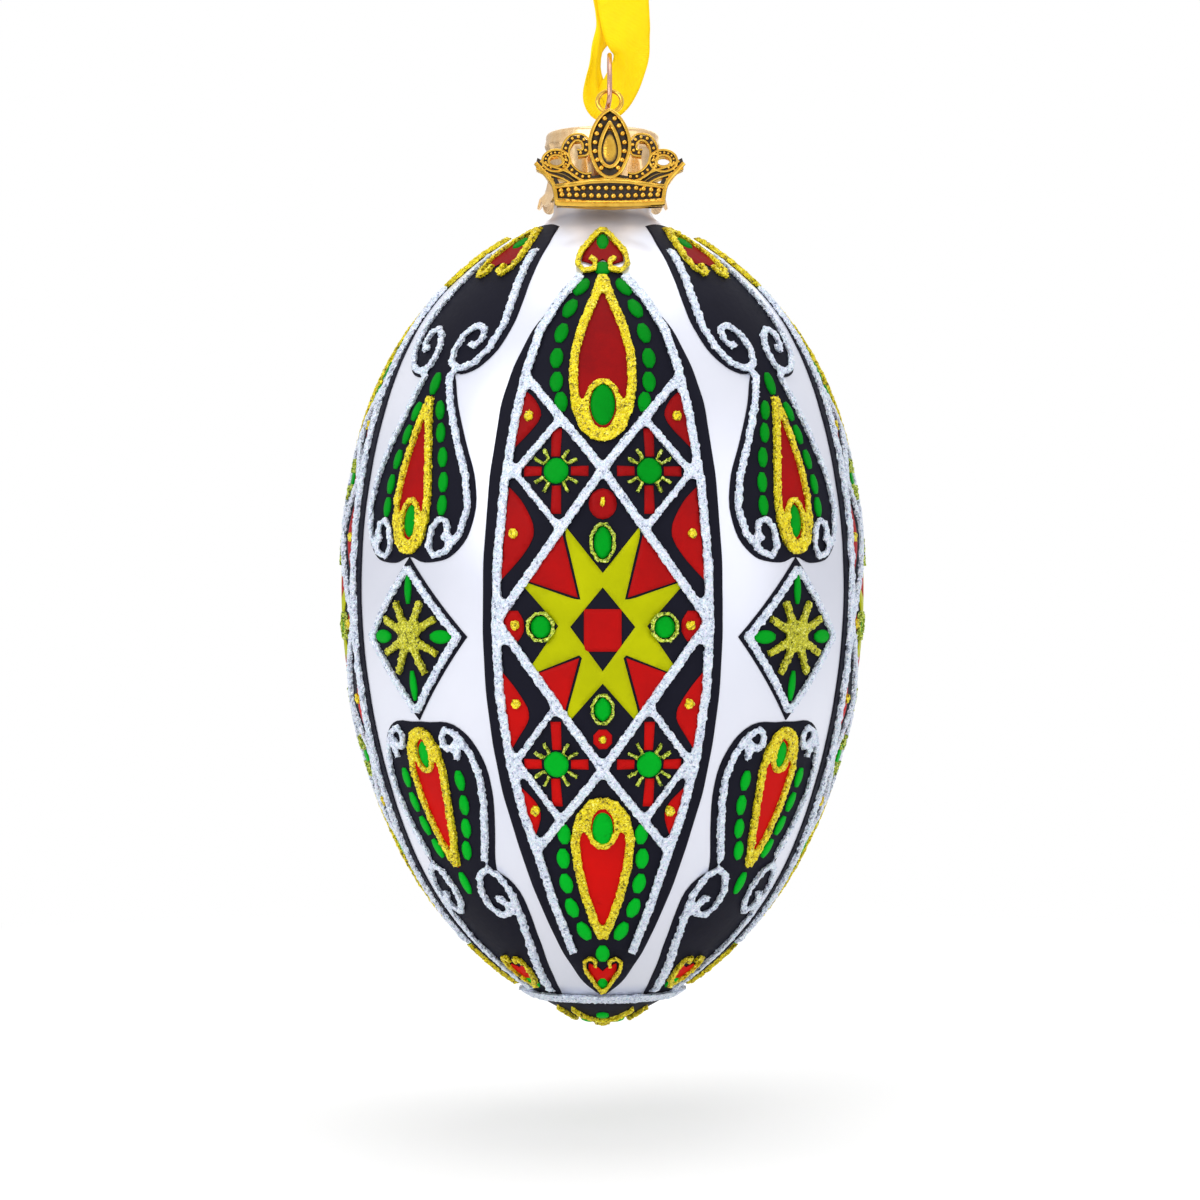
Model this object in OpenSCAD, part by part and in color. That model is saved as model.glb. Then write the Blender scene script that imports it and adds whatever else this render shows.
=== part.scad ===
// Hand-painted glass egg ornament with a metal cap, a wire hanging loop,
// a crown charm and a satin ribbon.
// Millimetres, +Z up, front towards -Y. The origin is the eye of the ribbon,
// just under its knot, where the ornament is hung.

/* [Glass egg] */
// Largest radius of the glass
egg_r = 29.6; // [24:0.1:40]
// Wall of the glass
glass_wall = 0.9; // [0.6:0.1:1.5]
// Length of the neck above the shoulder
neck_h = 9.1; // [6:0.1:12]

/* [Cap] */
// Outer radius of the cap's side
cap_r = 6.5; // [5.6:0.1:8]
// Height of the cap
cap_h = 8.7; // [6:0.1:10]
// Thickness of the cap's sheet
cap_sheet = 0.4; // [0.3:0.05:0.8]
// How far the petals at the hem flare outwards
hem_flare = 0.9; // [0.3:0.1:1.5]
// Petals round the hem
petals = 12; // [6:1:18]
// Gap between the cap's crown and the top of the neck
seat_gap = 0.3; // [0.1:0.05:0.5]
// Gap between the neck and the cap's side
neck_gap = 0.5; // [0.3:0.05:0.9]

/* [Hanging wire] */
// Thickness of the wire
wire_d = 0.56; // [0.4:0.02:0.9]
// Height of the loop's middle line above the cap
loop_h = 8.9; // [7:0.1:12]
// How far the loop leans to the right of the cap's middle
loop_x = 0.8; // [0:0.1:1]
// Clearance of the wire in the cap's holes
wire_clear = 0.22; // [0.1:0.02:0.5]

/* [Crown charm] */
// Thickness of the charm's plate
crown_t = 0.8; // [0.6:0.05:1.2]
// Lean of the charm from upright
crown_lean = 19.5; // [19:0.5:25]

/* [Ribbon] */
// Width of the ribbon
ribbon_w = 6; // [4:0.5:9]
// Thickness of the ribbon
ribbon_t = 0.3; // [0.2:0.05:0.5]
// Drop from the eye of the ribbon to the top of the cap
hang_drop = 28; // [26:0.5:40]

/* [Paint] */
// Thickness of the enamel coats
coat_t = 0.08; // [0.05:0.01:0.15]
// Height of the glitter relief
glitter_t = 0.4; // [0.2:0.05:0.6]
// Width of the glitter lines
line_w = 1.15; // [0.8:0.05:1.5]

/* [Hidden] */
$fn = 96;
u = egg_r/29.6;             // the painted pattern follows the egg's size
cap_z = -hang_drop;
neck_r = cap_r - cap_sheet - neck_gap;
loop_z = cap_z + loop_h;
// profile of the egg: arcs that meet with a common tangent
side_r = 66.4*u; top_a = 16.36; top_r = 37.4*u;
low_a = 26.07; low_r = 41.8*u; tip_r = 8*u;
c1 = egg_r - side_r;
c2x = c1 + (side_r - top_r)*cos(top_a);
c2z = (side_r - top_r)*sin(top_a);
c3x = c1 + (side_r - low_r)*cos(low_a);
c3z = -(side_r - low_r)*sin(low_a);
c4z = c3z - sqrt(pow(low_r - tip_r, 2) - c3x*c3x);
tip_a = atan2(c3z - c4z, -c3x);
shoulder_z = c2z + sqrt(pow(top_r, 2) - pow(neck_r - c2x, 2));
neck_top = shoulder_z + neck_h;
egg_z = cap_z - cap_sheet - seat_gap - neck_top;
bore_r = neck_r - glass_wall;
fil = 1.5;                  // fillet between the neck and the shoulder
fil_x = neck_r + fil;
fil_z = c2z + sqrt(pow(top_r + fil, 2) - pow(fil_x - c2x, 2));
// coats, one over the other, as heights above the glass
air = 0.06;
ground_0 = air; ground_1 = ground_0 + coat_t;
paint_0 = ground_1 + air; paint_1 = paint_0 + coat_t;
dot_0 = paint_1 + air; dot_1 = dot_0 + coat_t;
glit_0 = dot_1 + air; glit_1 = glit_0 + glitter_t;

// ---------- outlines ----------
function nrm(p, i) = let(a = p[max(0, i - 1)], b = p[min(len(p) - 1, i + 1)], d = b - a)
  [-d[1], d[0]]/norm(d);
// a line of width w along open points
function stroke(p, w = line_w) = concat(
  [for (i = [0:len(p) - 1]) p[i] + w/2*nrm(p, i)],
  [for (i = [len(p) - 1:-1:0]) p[i] - w/2*nrm(p, i)]);
function flip(p) = [for (v = p) [-v[0], v[1]]];
function whole(p) = concat(p, [for (i = [len(p) - 1:-1:0]) [-p[i][0], p[i][1]]]);
function oval(x, z, rx, rz, n = 8, t = 0) = [for (i = [0:n - 1])
  let(a = (i + 0.5)*360/n, c = rx*cos(a), s = rz*sin(a)) [x + c*cos(t) - s*sin(t), z + c*sin(t) + s*cos(t)]];
function ray(x, z, a, r0, r1, w0, w1) = [for (v = [[r0, -w0/2], [r1, -w1/2], [r1, w1/2], [r0, w0/2]])
  [x + v[0]*cos(a) - v[1]*sin(a), z + v[0]*sin(a) + v[1]*cos(a)]];
module both(p) { polygon(p); polygon(flip(p)); }
module ring_line(x, z, rx, rz, w = 0.9, n = 12) difference() {
  polygon(oval(x, z, rx + w/2, rz + w/2, n));
  polygon(oval(x, z, rx - w/2, rz - w/2, n));
}
// a closed line of even width along a symmetric outline
module loop_line(p, w = line_w) both(stroke(p, w));

// ---------- egg surface ----------
module band(r, x, z, za, zb) intersection() {
  translate([x, z]) circle(r = r, $fn = 240);
  translate([0, za]) square([egg_r*1.2, zb - za]);
}
module egg_2d(o) {
  z1 = (side_r + o)*sin(top_a);
  z2 = -(side_r + o)*sin(low_a);
  z3 = c4z - (tip_r + o)*sin(tip_a);
  band(top_r + o, c2x, c2z, z1, 60*u);
  band(side_r + o, c1, 0, z2, z1);
  band(low_r + o, c3x, c3z, z3, z2);
  band(tip_r + o, 0, c4z, -70*u, z3);
}
module coat(a, b) rotate_extrude() intersection() {
  difference() { egg_2d(b); egg_2d(a); }
  translate([0, -60*u]) square([egg_r*1.2, 60*u + 43*u]);
}
// the outlines, drawn on the front and wrapped on the egg at four sides
module painted(a, b, turn = 0) translate([0, 0, egg_z]) intersection() {
  coat(a, b);
  for (k = [0:3]) rotate([0, 0, turn + 90*k]) rotate([90, 0, 0])
    linear_extrude(egg_r*1.2) scale([u, u]) children();
}

// radius and upward lean of the surface at height z
function egg_arc(z) = z > side_r*sin(top_a) ? [c2x, c2z, top_r] : z > -side_r*sin(low_a) ? [c1, 0, side_r]
  : z > c4z - tip_r*sin(tip_a) ? [c3x, c3z, low_r] : [0, c4z, tip_r];
function egg_at(z) = let(c = egg_arc(z)) c[0] + sqrt(pow(c[2], 2) - pow(z - c[1], 2));
function egg_lean(z) = let(c = egg_arc(z)) asin((z - c[1])/c[2]);
// small flat daubs laid on the surface at four sides: spots are [x, z, outline, hole], the outline about its own middle
module daubs(a, b, spots, turn = 0) translate([0, 0, egg_z]) for (k = [0:3]) for (v = spots) {
  z = v[1]*u; r = egg_at(z); e = egg_lean(z); g = asin(v[0]*u/r);
  rotate([0, 0, turn + 90*k + g]) translate([0, -r, z]) rotate([90 - e, 0, 0]) translate([0, 0, a])
    linear_extrude(b - a) scale([u, u]) difference() {
      polygon([for (q = v[2]) [q[0]/cos(g), q[1]/cos(e)]]);
      if (len(v) > 3) polygon([for (q = v[3]) [q[0]/cos(g), q[1]/cos(e)]]);
    }
}
function two(l) = concat(l, [for (v = l) concat([-v[0], v[1], flip(v[2])], len(v) > 3 ? [flip(v[3])] : [])]);
function ring_spot(x, z, rx, rz, w, n = 8) = [x, z, oval(0, 0, rx + w/2, rz + w/2, n), oval(0, 0, rx - w/2, rz - w/2, n)];

// points along an arc after its first one, and the egg's side from the tip up to angle "to" of the shoulder's arc
function arc(x, z, r, a, b, n) = [for (i = [1:n]) [x + r*cos(a + (b - a)*i/n), z + r*sin(a + (b - a)*i/n)]];
function side_line(o, to) = concat([[0, c4z - tip_r - o]], arc(0, c4z, tip_r + o, -90, -tip_a, 8),
  arc(c3x, c3z, low_r + o, -tip_a, -low_a, 12), arc(c1, 0, side_r + o, -low_a, top_a, 20),
  arc(c2x, c2z, top_r + o, top_a, to, 14));
fil_a = asin((fil_z - c2z)/(top_r + fil));              // where the fillet leaves the shoulder
bore_a = acos((bore_r - c2x)/(top_r - glass_wall));     // where the bore opens into the egg
module glass_egg() color([0.91, 0.92, 0.96]) translate([0, 0, egg_z]) rotate_extrude() {
  inner = side_line(-glass_wall, bore_a);
  polygon(concat(side_line(0, fil_a), arc(fil_x, fil_z, fil, 180 + fil_a, 180, 6),
    [[neck_r, neck_top], [bore_r, neck_top]], [for (i = [len(inner) - 1:-1:0]) inner[i]]));
}

// ---------- cap, wire ----------
module cap() color([0.83, 0.62, 0.52]) translate([0, 0, cap_z]) difference() {
  rotate_extrude() {
    // top disc with a rounded rim
    translate([0, -cap_sheet]) square([cap_r - 0.6, cap_sheet]);
    difference() {
      intersection() { translate([cap_r - 0.6, -0.6]) circle(r = 0.6, $fn = 48);
        translate([cap_r - 0.6, -0.6]) square([1, 1]); }
      translate([cap_r - 0.6, -0.6]) circle(r = 0.6 - cap_sheet, $fn = 48);
    }
    translate([cap_r - cap_sheet, -cap_h + 2.2]) square([cap_sheet, cap_h - 2.2 - 0.6]);
    // two stamped beads round the side and the flared hem
    for (z = [-2, -cap_h + 2.8]) translate([cap_r - 0.05, z]) circle(r = 0.28, $fn = 32);
    polygon([[cap_r - cap_sheet, -cap_h + 2.2], [cap_r, -cap_h + 2.2],
      [cap_r + hem_flare*0.45, -cap_h + 1], [cap_r + hem_flare, -cap_h],
      [cap_r + hem_flare - cap_sheet, -cap_h], [cap_r + hem_flare*0.45 - cap_sheet, -cap_h + 1]]);
  }
  for (k = [-1, 1]) translate([0, k*wire_y, -2]) cylinder(r = wire_d/2 + wire_clear, h = 4, $fn = 32);
  // scallops between the petals
  for (i = [0:petals - 1]) rotate([0, 0, (i + 0.5)*360/petals]) translate([cap_r - 1, 0, -cap_h])
    rotate([0, 90, 0]) cylinder(r = 0.75, h = 4, $fn = 24);
}

wire_y = 2.5;               // where the legs pass the cap's top
leg_y = bore_r - wire_d/2 - 0.22;
// one side of the wire, from the top of the loop to the foot, as [y, z] from the cap's top
wire_front_y = cap_r - 0.35;   // how far the loop reaches to the front
wire_front = concat([for (v = [[0, loop_h], [1.5, loop_h - 0.15], [3, loop_h - 0.75], [4.35, loop_h - 1.8], [5.4, loop_h - 3.2],
  [6, loop_h - 4.6], [6.15, loop_h - 5.5], [5.85, loop_h - 6.4]]) [-v[0]*wire_front_y/6.15, v[1]]],
  [[-5, 1.75], [-3.9, 1.15], [-3, 0.75], [-wire_y, 0.2], [-wire_y, -0.9],
  [-2.9, -2], [-3.6, -4], [-leg_y, -7], [-leg_y, -12], [-leg_y + 0.6, -15]]);
wire_back = [[1.5, loop_h - 0.15], [2.9, loop_h - 0.8], [4, loop_h - 1.9], [4.7, loop_h - 3.3], [4.8, loop_h - 4.7],
  [4.4, loop_h - 6], [3.6, 1.9], [2.8, 1], [wire_y, 0.2], [wire_y, -0.9],
  [2.9, -2], [3.6, -4], [leg_y, -7], [leg_y, -12], [leg_y - 0.6, -15]];
function lean_at(z) = loop_x*min(1, max(0, z/3));
wire_pts = [for (v = concat([for (i = [len(wire_front) - 1:-1:0]) wire_front[i]], wire_back)) [lean_at(v[1]), v[0], v[1] + cap_z]];

// smooth points through p, m to each span
function cat(p, i, t) = let(n = len(p), a = p[max(0, i - 1)], b = p[i], c = p[min(n - 1, i + 1)], d = p[min(n - 1, i + 2)])
  0.5*((2*b) + (c - a)*t + (2*a - 5*b + 4*c - d)*t*t + (3*b - a - 3*c + d)*t*t*t);
function smooth(p, m) = concat([for (i = [0:len(p) - 2]) for (j = [0:m - 1]) cat(p, i, j/m)], [p[len(p) - 1]]);
function unit(v) = v/norm(v);
// closed tube through sections s[i], each a list of the same number of points
module skin(s) {
  n = len(s[0]); m = len(s);
  polyhedron(points = [for (r = s) for (v = r) v], faces = concat(
    [[for (j = [n - 1:-1:0]) j]],
    [for (i = [0:m - 2]) for (j = [0:n - 1]) [i*n + j, i*n + (j + 1)%n, (i + 1)*n + (j + 1)%n]],
    [for (i = [0:m - 2]) for (j = [0:n - 1]) [i*n + j, (i + 1)*n + (j + 1)%n, (i + 1)*n + j]],
    [[for (j = [0:n - 1]) (m - 1)*n + j]]), convexity = 6);
}
module hanger_wire() color([0.80, 0.60, 0.52]) {
  p = smooth(wire_pts, 2);
  skin([for (i = [0:len(p) - 1]) let(d = unit(p[min(len(p) - 1, i + 1)] - p[max(0, i - 1)]), q = cross([1, 0, 0], d))
    [for (j = [0:7]) p[i] + wire_d/2*(cos(45*j)*[1, 0, 0] + sin(45*j)*q)]]);
}

// ---------- crown charm ----------
ring_y = -wire_front_y + 0.2; ring_z = 2.75;   // centre of the charm's ring from the cap's top
ring_hole = 1.1; ring_bar = 0.5;
marquise = [[0, -1.3], [0.9, -2], [1.7, -3.3], [2.2, -5], [2.2, -6.4], [1.8, -7.8], [1.1, -9.2], [0, -9.8]];
drop_in = [[0, -2.9], [0.7, -4.4], [1.1, -6], [1.05, -7.3], [0.6, -8.2], [0, -8.5]];
curl = [[2.0, -9.6], [2.9, -9.7], [4.1, -9], [4.9, -7.6], [4.9, -6], [4.2, -4.9], [3.2, -4.8], [2.6, -5.6], [2.8, -6.6], [3.6, -6.7]];
arm = [[3.0, -11], [4.8, -9.6], [6.6, -8.9], [8, -8.2]];
module crown_2d() {
  difference() { polygon(whole(marquise)); polygon(whole(drop_in)); }
  both(stroke(curl, 0.75));
  both(stroke(arm, 1));
  for (k = [-1, 1]) difference() {
    polygon(oval(k*6, -7.7, 1.7, 1.5, 14));
    polygon(oval(k*6, -7.7, 0.85, 0.65, 12));
  }
  both([[6.6, -8.2], [8.1, -7.3], [8.3, -8.1], [7.3, -9.3], [6.2, -11], [5.4, -11]]);
  polygon(whole([[0, -9.2], [2.2, -9.6], [4.2, -10.2], [6.3, -10.6], [5.9, -13.1], [0, -13.4]]));
}
module crown_charm() color([0.66, 0.52, 0.20]) translate([loop_x, ring_y, cap_z + ring_z]) rotate([90 - crown_lean, 0, 0])
  translate([0, 0, -crown_t/2]) {
    difference() {
      union() {
        linear_extrude(crown_t) crown_2d();
        translate([0, 0, crown_t/2]) rotate_extrude() translate([ring_hole + ring_bar/2, 0]) circle(r = ring_bar/2, $fn = 32);
      }
    }
    // plain rims and rows of beads that stand out of the face
    translate([0, 0, crown_t - 0.1]) linear_extrude(0.35) {
      both(stroke([[0, -13], [3, -12.95], [6, -12.7]], 0.55));
      both(stroke([[0, -10.25], [2.2, -10.35], [4.2, -10.7], [6.1, -11]], 0.4));
    }
    for (k = [-1, 1]) for (i = [0:6]) {
      translate([k*(0.42 + 0.84*i), -11.1 - 0.1*(i > 3 ? i - 3 : 0), crown_t]) sphere(r = 0.3, $fn = 24);
      translate([k*(0.42 + 0.82*i), -12.1 + 0.03*i, crown_t]) sphere(r = 0.32, $fn = 24);
    }
    for (k = [-1, 1]) for (v = [[0.55, -2.4], [1.05, -3.3], [1.45, -4.3], [1.65, -5.4], [1.65, -6.5], [1.4, -7.6], [0.95, -8.6]])
      translate([k*v[0], v[1], crown_t]) sphere(r = 0.3, $fn = 24);
  }

// ---------- ribbon ----------
// points [x, y, z from the loop's top, turn of the width about the line, part of the width, curl]
// from the knot down the left strand, through the loop and up the right strand
rise = hang_drop - loop_h;
ribbon_path = [
  [-0.2, 0.5, rise + 3.08, 0, 0.55, 0.5], [0.4, 1, rise + 0.5, 0, 0.8, 0.5], [1.2, 1.4, rise - 3.5, -5, 0.95, 0.35],
  [1.5, 1.5, rise - 8, -8, 0.95, 0.3], [1.4, 1.5, rise - 12.1, -14, 0.88, 0.3], [0.6, 1.2, rise - 15.3, -38, 0.6, 0.35],
  [-0.3, 0.6, 1.4, -64, 0.42, 0.35], [-0.75, 0.2, -0.8, -64, 0.4, 0.3], [-0.9, 0.1, -2.8, -32, 0.42, 0.25],
  [-0.75, 0.1, -4.8, -8, 0.5, 0.2], [0.1, 0, -5.8, 0, 0.58, 0.12], [1.2, 0, -4.9, 0, 0.68, 0.1],
  [2.2, 0, -3.2, 0, 0.7, 0.1], [2.95, 0, -1.5, 0, 0.66, 0.15], [3.3, -0.15, 0.3, -4, 0.7, 0.25],
  [2.8, -0.5, 2.6, -8, 0.9, 0.3], [2.3, -0.7, rise - 12.5, -10, 1, 0.3], [2.25, -0.7, rise - 8, -12, 1, 0.25],
  [2.1, -0.6, rise - 4, -12, 0.95, 0.35], [1.5, -0.5, rise + 0.2, -10, 0.8, 0.5], [0.8, -0.4, rise + 3.08, -10, 0.55, 0.5]];
module ribbon() color([1, 0.86, 0.05]) {
  p = smooth([for (v = ribbon_path) [v[0], v[1], v[2] + loop_z]], 3);
  q = smooth([for (v = ribbon_path) [v[3], v[4], v[5]]], 3);
  skin([for (i = [0:len(p) - 1]) let(
      d = unit(p[min(len(p) - 1, i + 1)] - p[max(0, i - 1)]),
      f = unit(cross([0, 1, 0], d)), g = cross(d, f), a = q[i][0],
      w = f*cos(a) + g*sin(a), t = g*cos(a) - f*sin(a), h = ribbon_w/2*q[i][1], c = q[i][2])
    [for (s = [[-1, 1], [-0.4, 1], [0.4, 1], [1, 1], [1, -1], [0.4, -1], [-0.4, -1], [-1, -1]])
      p[i] + w*h*s[0] + t*(ribbon_t/2*s[1] + c*(abs(s[0]) > 0.9 ? 0.35 : -0.25))]]);
}
module ribbon_knot() color([1, 0.86, 0.05]) translate([0.2, 0, 0]) {
  translate([0, 0, 6.2]) rotate_extrude() polygon([for (i = [-8:8]) [3.3*cos(i*90/8), 3*sin(i*90/8)]]);
  for (k = [-1, 1]) hull() {
    translate([k*1.2, 0, 8]) cube([1.8, 1.2, 0.6], center = true);
    translate([k*4, 0, 15]) rotate([0, k*25, 0]) cube([5, 0.5, 0.6], center = true);
  }
}

// ---------- lens panels ----------
panel_edge = [[0.4, 36], [1.9, 34.9], [5, 31.4], [7.6, 28.1], [9.6, 24], [10.9, 20], [12.1, 12], [12.75, 3], [12.8, -5],
  [12.5, -11], [11.8, -16.5], [10.8, -21.8], [9, -28], [7.6, -32.3], [5.9, -36.6], [4.4, -40], [2.2, -43.7], [0.4, -45.3]];
panel_border = [[2.3, 34.7], [4.6, 31.9], [6.8, 28.2], [8.2, 23.8], [9.4, 18.5], [10.55, 11.5], [11.3, 3], [11.5, -3.5],
  [11.15, -10.9], [10, -18.6], [8.5, -24.5], [7.1, -28.6], [5.3, -34.4], [3.2, -40.3]];
drop_top = [[0, 34.6], [0.9, 31.8], [2.2, 28.6], [3, 25.6], [3.2, 22.6], [2.9, 19.6], [2, 17.3], [0.9, 16.4], [0, 16.2]];
drop_low = [[0, -22.7], [1.3, -23.1], [2.5, -24.6], [3, -27], [2.7, -30], [1.9, -33.4], [0.9, -36.4], [0, -38.4]];
heart_top = [[0, 40.6], [1.2, 39.2], [2.5, 37.4], [2.8, 36], [2, 35.1], [0.9, 35.3], [0.8, 36.3], [1.5, 36.8]];
heart_low = [[0, -45.4], [0.9, -44], [1.9, -42.4], [2.1, -41.3], [1.4, -40.8], [0.7, -41.3], [0.9, -42]];
star = [[0, 1.7], [3.9, 6.6], [4.05, 6.2], [2.35, -1.1], [2.6, -1.2], [8.1, 0.7], [8.4, 0.3], [4.7, -3.9], [7.9, -8.6], [7.7, -9.1], [2.5, -7],
  [2.2, -7.3], [3.9, -13.6], [3.6, -14.1], [0, -10]];
star_gap = [[0, 0.2], [3.45, -4], [0, -8.7]];
module panel_ground() color([0.11, 0.11, 0.15]) painted(ground_0, ground_1) polygon(whole(panel_edge));
module panel_red() color([0.76, 0.12, 0.13]) { red_fields(); red_daubs(); }
module red_daubs() daubs(paint_0, paint_1, concat(
  [[0, -4.35, [[-2, 2.25], [2, 2.25], [2, -2.25], [-2, -2.25]]], [0, 9, oval(0, 0, 1.55, 1.7)], [0, -15.9, oval(0, 0, 1.2, 1.25)]],
  two([[9.4, -3.9, oval(0, 0, 1.2, 1.75)]]),
  two([for (z = [12.5, -18.6]) for (k = [-1, 1]) [4.9 + k*2.45, z, ray(0, 0, 90 - 90*k, -0.9, 0.95, 0.95, 1.1)]]),
  two([for (z = [12.5, -18.6]) for (k = [-1, 1]) [4.9, z + k*3.05, ray(0, 0, 90*k, -1.5, 1.5, 0.95, 1.1)]])));
module red_fields() painted(paint_0, paint_1) {
  polygon(whole(drop_top));
  polygon(whole(drop_low));
  both([[4.3, 5.9], [8.1, 0.9], [2.65, -0.9]]);
  both([[4.1, -13.3], [7.6, -9.2], [2.5, -7.3]]);
  both([[10, 10.9], [8.6, 9.4], [7.4, 7], [7.3, 5.6], [8.6, 3.4], [10.9, 0.9]]);
  both([[8.8, 21.6], [7.2, 20.4], [6.6, 18.8], [7, 17.6], [9.9, 14.6]]);
  both([[10.9, -8.6], [9.4, -10.4], [8, -12.6], [7.8, -13.8], [9.9, -17.4]]);
  both([[9.1, -20.9], [7.4, -22.6], [6.5, -24], [7.4, -27]]);
  polygon(whole([[0, 39.6], [2, 37.6], [2.3, 36.2], [1, 35.7], [0, 36.4]]));
  polygon(whole([[0, -44.6], [1.6, -42.2], [1.5, -41.3], [0.8, -41.5], [0, -42.3]]));
}
module panel_star() color([0.80, 0.83, 0.04]) painted(paint_0, paint_1) difference() {
  polygon(whole(star));
  polygon(whole(star_gap));
}
module panel_green() color([0.02, 0.60, 0.16]) {
  daubs(dot_0, dot_1, concat(
    two([for (v = [[2.3, 32.8, 40], [3.5, 30.3, 25], [4.4, 27.5, 12], [4.9, 24.7, 0], [4.9, 22.1, 0], [4.4, 19.9, -10],
      [4.1, -26.2, 0], [4.2, -28.9, 0], [3.9, -31.7, -8], [3.3, -34.5, -15], [2, -37.2, -25]])
      [v[0], v[1], oval(0, 0, 0.75, 1.15, 8, v[2])]]),
    two([[6.5, -4, oval(0, 0, 1.1, 1.2, 10)], [4.9, 12.5, oval(0, 0, 1.35, 1.4, 10)], [4.9, -18.6, oval(0, 0, 1.35, 1.4, 10)]]),
    [[0, 35, oval(0, 0, 1, 0.8)], [0, 38.3, oval(0, 0, 0.7, 1)], [0, -39.9, oval(0, 0, 0.8, 1)], [0, -43.6, oval(0, 0, 0.6, 0.7)],
      [0, 4.9, oval(0, 0, 0.95, 1.75, 10)], [0, -12.7, oval(0, 0, 0.9, 1.3, 10)]]));
  daubs(dot_0 + 0.04, dot_1 + 0.04, [[0, 19.6, oval(0, 0, 1.35, 2.3, 12)], [0, -25.6, oval(0, 0, 1.15, 1.9, 12)]]);
}
module panel_white_lines() color([0.86, 0.89, 0.94]) painted(glit_0, glit_1) {
  both(stroke(panel_border));
  both(stroke([[8, 22.6], [0, 12.8]])); both(stroke([[0, 12.8], [11.4, -3.4]])); both(stroke([[11.4, -3.4], [0, -19.3]]));
  both(stroke([[0, -19.3], [7.1, -28.2]]));
  both(stroke([[4.5, 18.3], [9.5, 12.4]], 0.95)); both(stroke([[9.5, 12.6], [4.5, 6.3]], 0.95));
  both(stroke([[4.9, -12.4], [9.4, -18.5]], 0.95)); both(stroke([[9.4, -18.3], [4.5, -24.9]], 0.95));
}
module panel_gold_lines() color([0.87, 0.76, 0.07]) { gold_outlines(); gold_daubs(); }
module gold_daubs() daubs(glit_0 + 0.05, glit_1, concat(
  [[0, 9.2, oval(0, 0, 0.4, 0.7, 8)], [0, -15.9, oval(0, 0, 0.6, 0.5, 8)], ring_spot(0, 4.9, 1.3, 2.1, 0.55), ring_spot(0, -12.7, 1.2, 1.6, 0.5)],
  two([ring_spot(6.5, -4, 1.45, 1.55, 0.55)]),
  two([for (v = [[9.2, -3.8], [9.4, 5.9], [7.8, 18.4], [9.1, -12.1], [7.1, -23.6]]) [v[0], v[1], oval(0, 0, 0.62, 0.68, 8)]]),
  two([for (z = [12.5, -18.6]) for (a = [30, 60, 120, 150, 210, 240, 300, 330])
    [4.9 + 2*cos(a), z + 2*sin(a), ray(0, 0, a, -0.7, 0.7, 0.45, 0.5)]])));
module gold_outlines() painted(glit_0, glit_1) {
  loop_line(drop_top); loop_line(drop_low);
  loop_line(heart_top, 0.8); loop_line(heart_low, 0.6);
  ring_line(0, 19.6, 1.8, 2.8, 0.8); ring_line(0, -25.5, 1.6, 2.3, 0.8);
}

// ---------- scroll motifs ----------
bell = [[0.4, 41.3], [2.2, 40.9], [4, 38.5], [5.6, 35], [6.8, 31.8], [7.4, 29], [7, 26], [5.4, 24], [3.2, 23.3], [2, 23.8],
  [2.6, 23.2], [3.9, 20.4], [5.7, 16.9], [8, 12.3], [8.7, 8.8], [7.9, 5.4], [5.9, 3.4], [3.6, 2.9], [1.2, 3], [0.6, 3.6]];
diamond = [[0, 3.5], [7.9, -5.1], [0, -14.2]];
vase = [[0.6, -14.3], [1.6, -14.6], [3, -14.2], [5, -14.6], [6.9, -16.2], [8, -19], [7.9, -22.4], [6.9, -26], [5.5, -29.6], [5.2, -30.8],
  [6.2, -31.4], [7, -33], [6.6, -36], [5.5, -39.4], [3.6, -43.2], [2, -45.6], [0.4, -46.2]];
bell_line = [[3.4, 38.1], [4.8, 34.8], [6, 31.6], [6.6, 29], [6.2, 26.4], [4.9, 24.7], [3.2, 24.1], [1.7, 24.8], [1.3, 26.4],
  [1.9, 28.1], [3.2, 29.1], [4.4, 28.6], [4.7, 27.4], [4, 26.6], [3.2, 27]];
lobe_line = [[1.9, 23.8], [3.2, 20.6], [4.9, 17.1], [7.2, 12.3], [7.95, 8.9], [7.2, 5.9], [5.5, 4.1], [3.9, 3.6], [3.1, 4.6],
  [3.45, 6.6], [4.4, 7.7], [5.5, 7.3], [5.7, 6], [4.9, 5.4]];
vase_line = [[4.8, -18.6], [5.1, -17.6], [4.5, -16.9], [3.8, -17.4], [3.3, -17], [3.2, -16], [3.9, -15.1], [5.4, -15.8],
  [6.7, -17.7], [7.2, -20.3], [6.9, -23], [5.8, -26.6], [4.5, -29.8]];
tail_line = [[3.8, -34.1], [4.6, -33.9], [5, -34.7], [4.5, -35.7], [3.3, -36], [2.3, -34.9], [2.2, -33.2], [3, -31.4], [4.4, -30.6],
  [5.6, -31.4], [6.2, -33.3], [5.8, -36], [4.7, -39.2], [2.9, -42.8], [1.5, -45.4]];
lobe_drop = [[0, 21.2], [0.8, 18], [1.8, 14], [2.4, 10.4], [2.4, 7.4], [1.8, 5.4], [0.8, 4.4], [0, 4.2]];
vase_drop = [[0, -15.3], [1.2, -15.8], [2.1, -17.4], [2.4, -19.8], [2, -23.2], [1.2, -27], [0, -30.6]];
module scroll_ground() color([0.11, 0.11, 0.15]) painted(ground_0, ground_1, 45) {
  polygon(whole(bell)); polygon(whole(diamond)); polygon(whole(vase));
}
module scroll_red() color([0.82, 0.11, 0.11]) painted(paint_0, paint_1, 45) {
  polygon(whole(lobe_drop)); polygon(whole(vase_drop));
  polygon(whole([[0, 39.8], [1.9, 38.4], [2.4, 36.6], [0.8, 36], [0, 36.4]]));
  polygon(whole([[0, -44.3], [1.1, -43.2], [1.5, -42.2], [0.8, -41.9], [0, -42.3]]));
}
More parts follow.
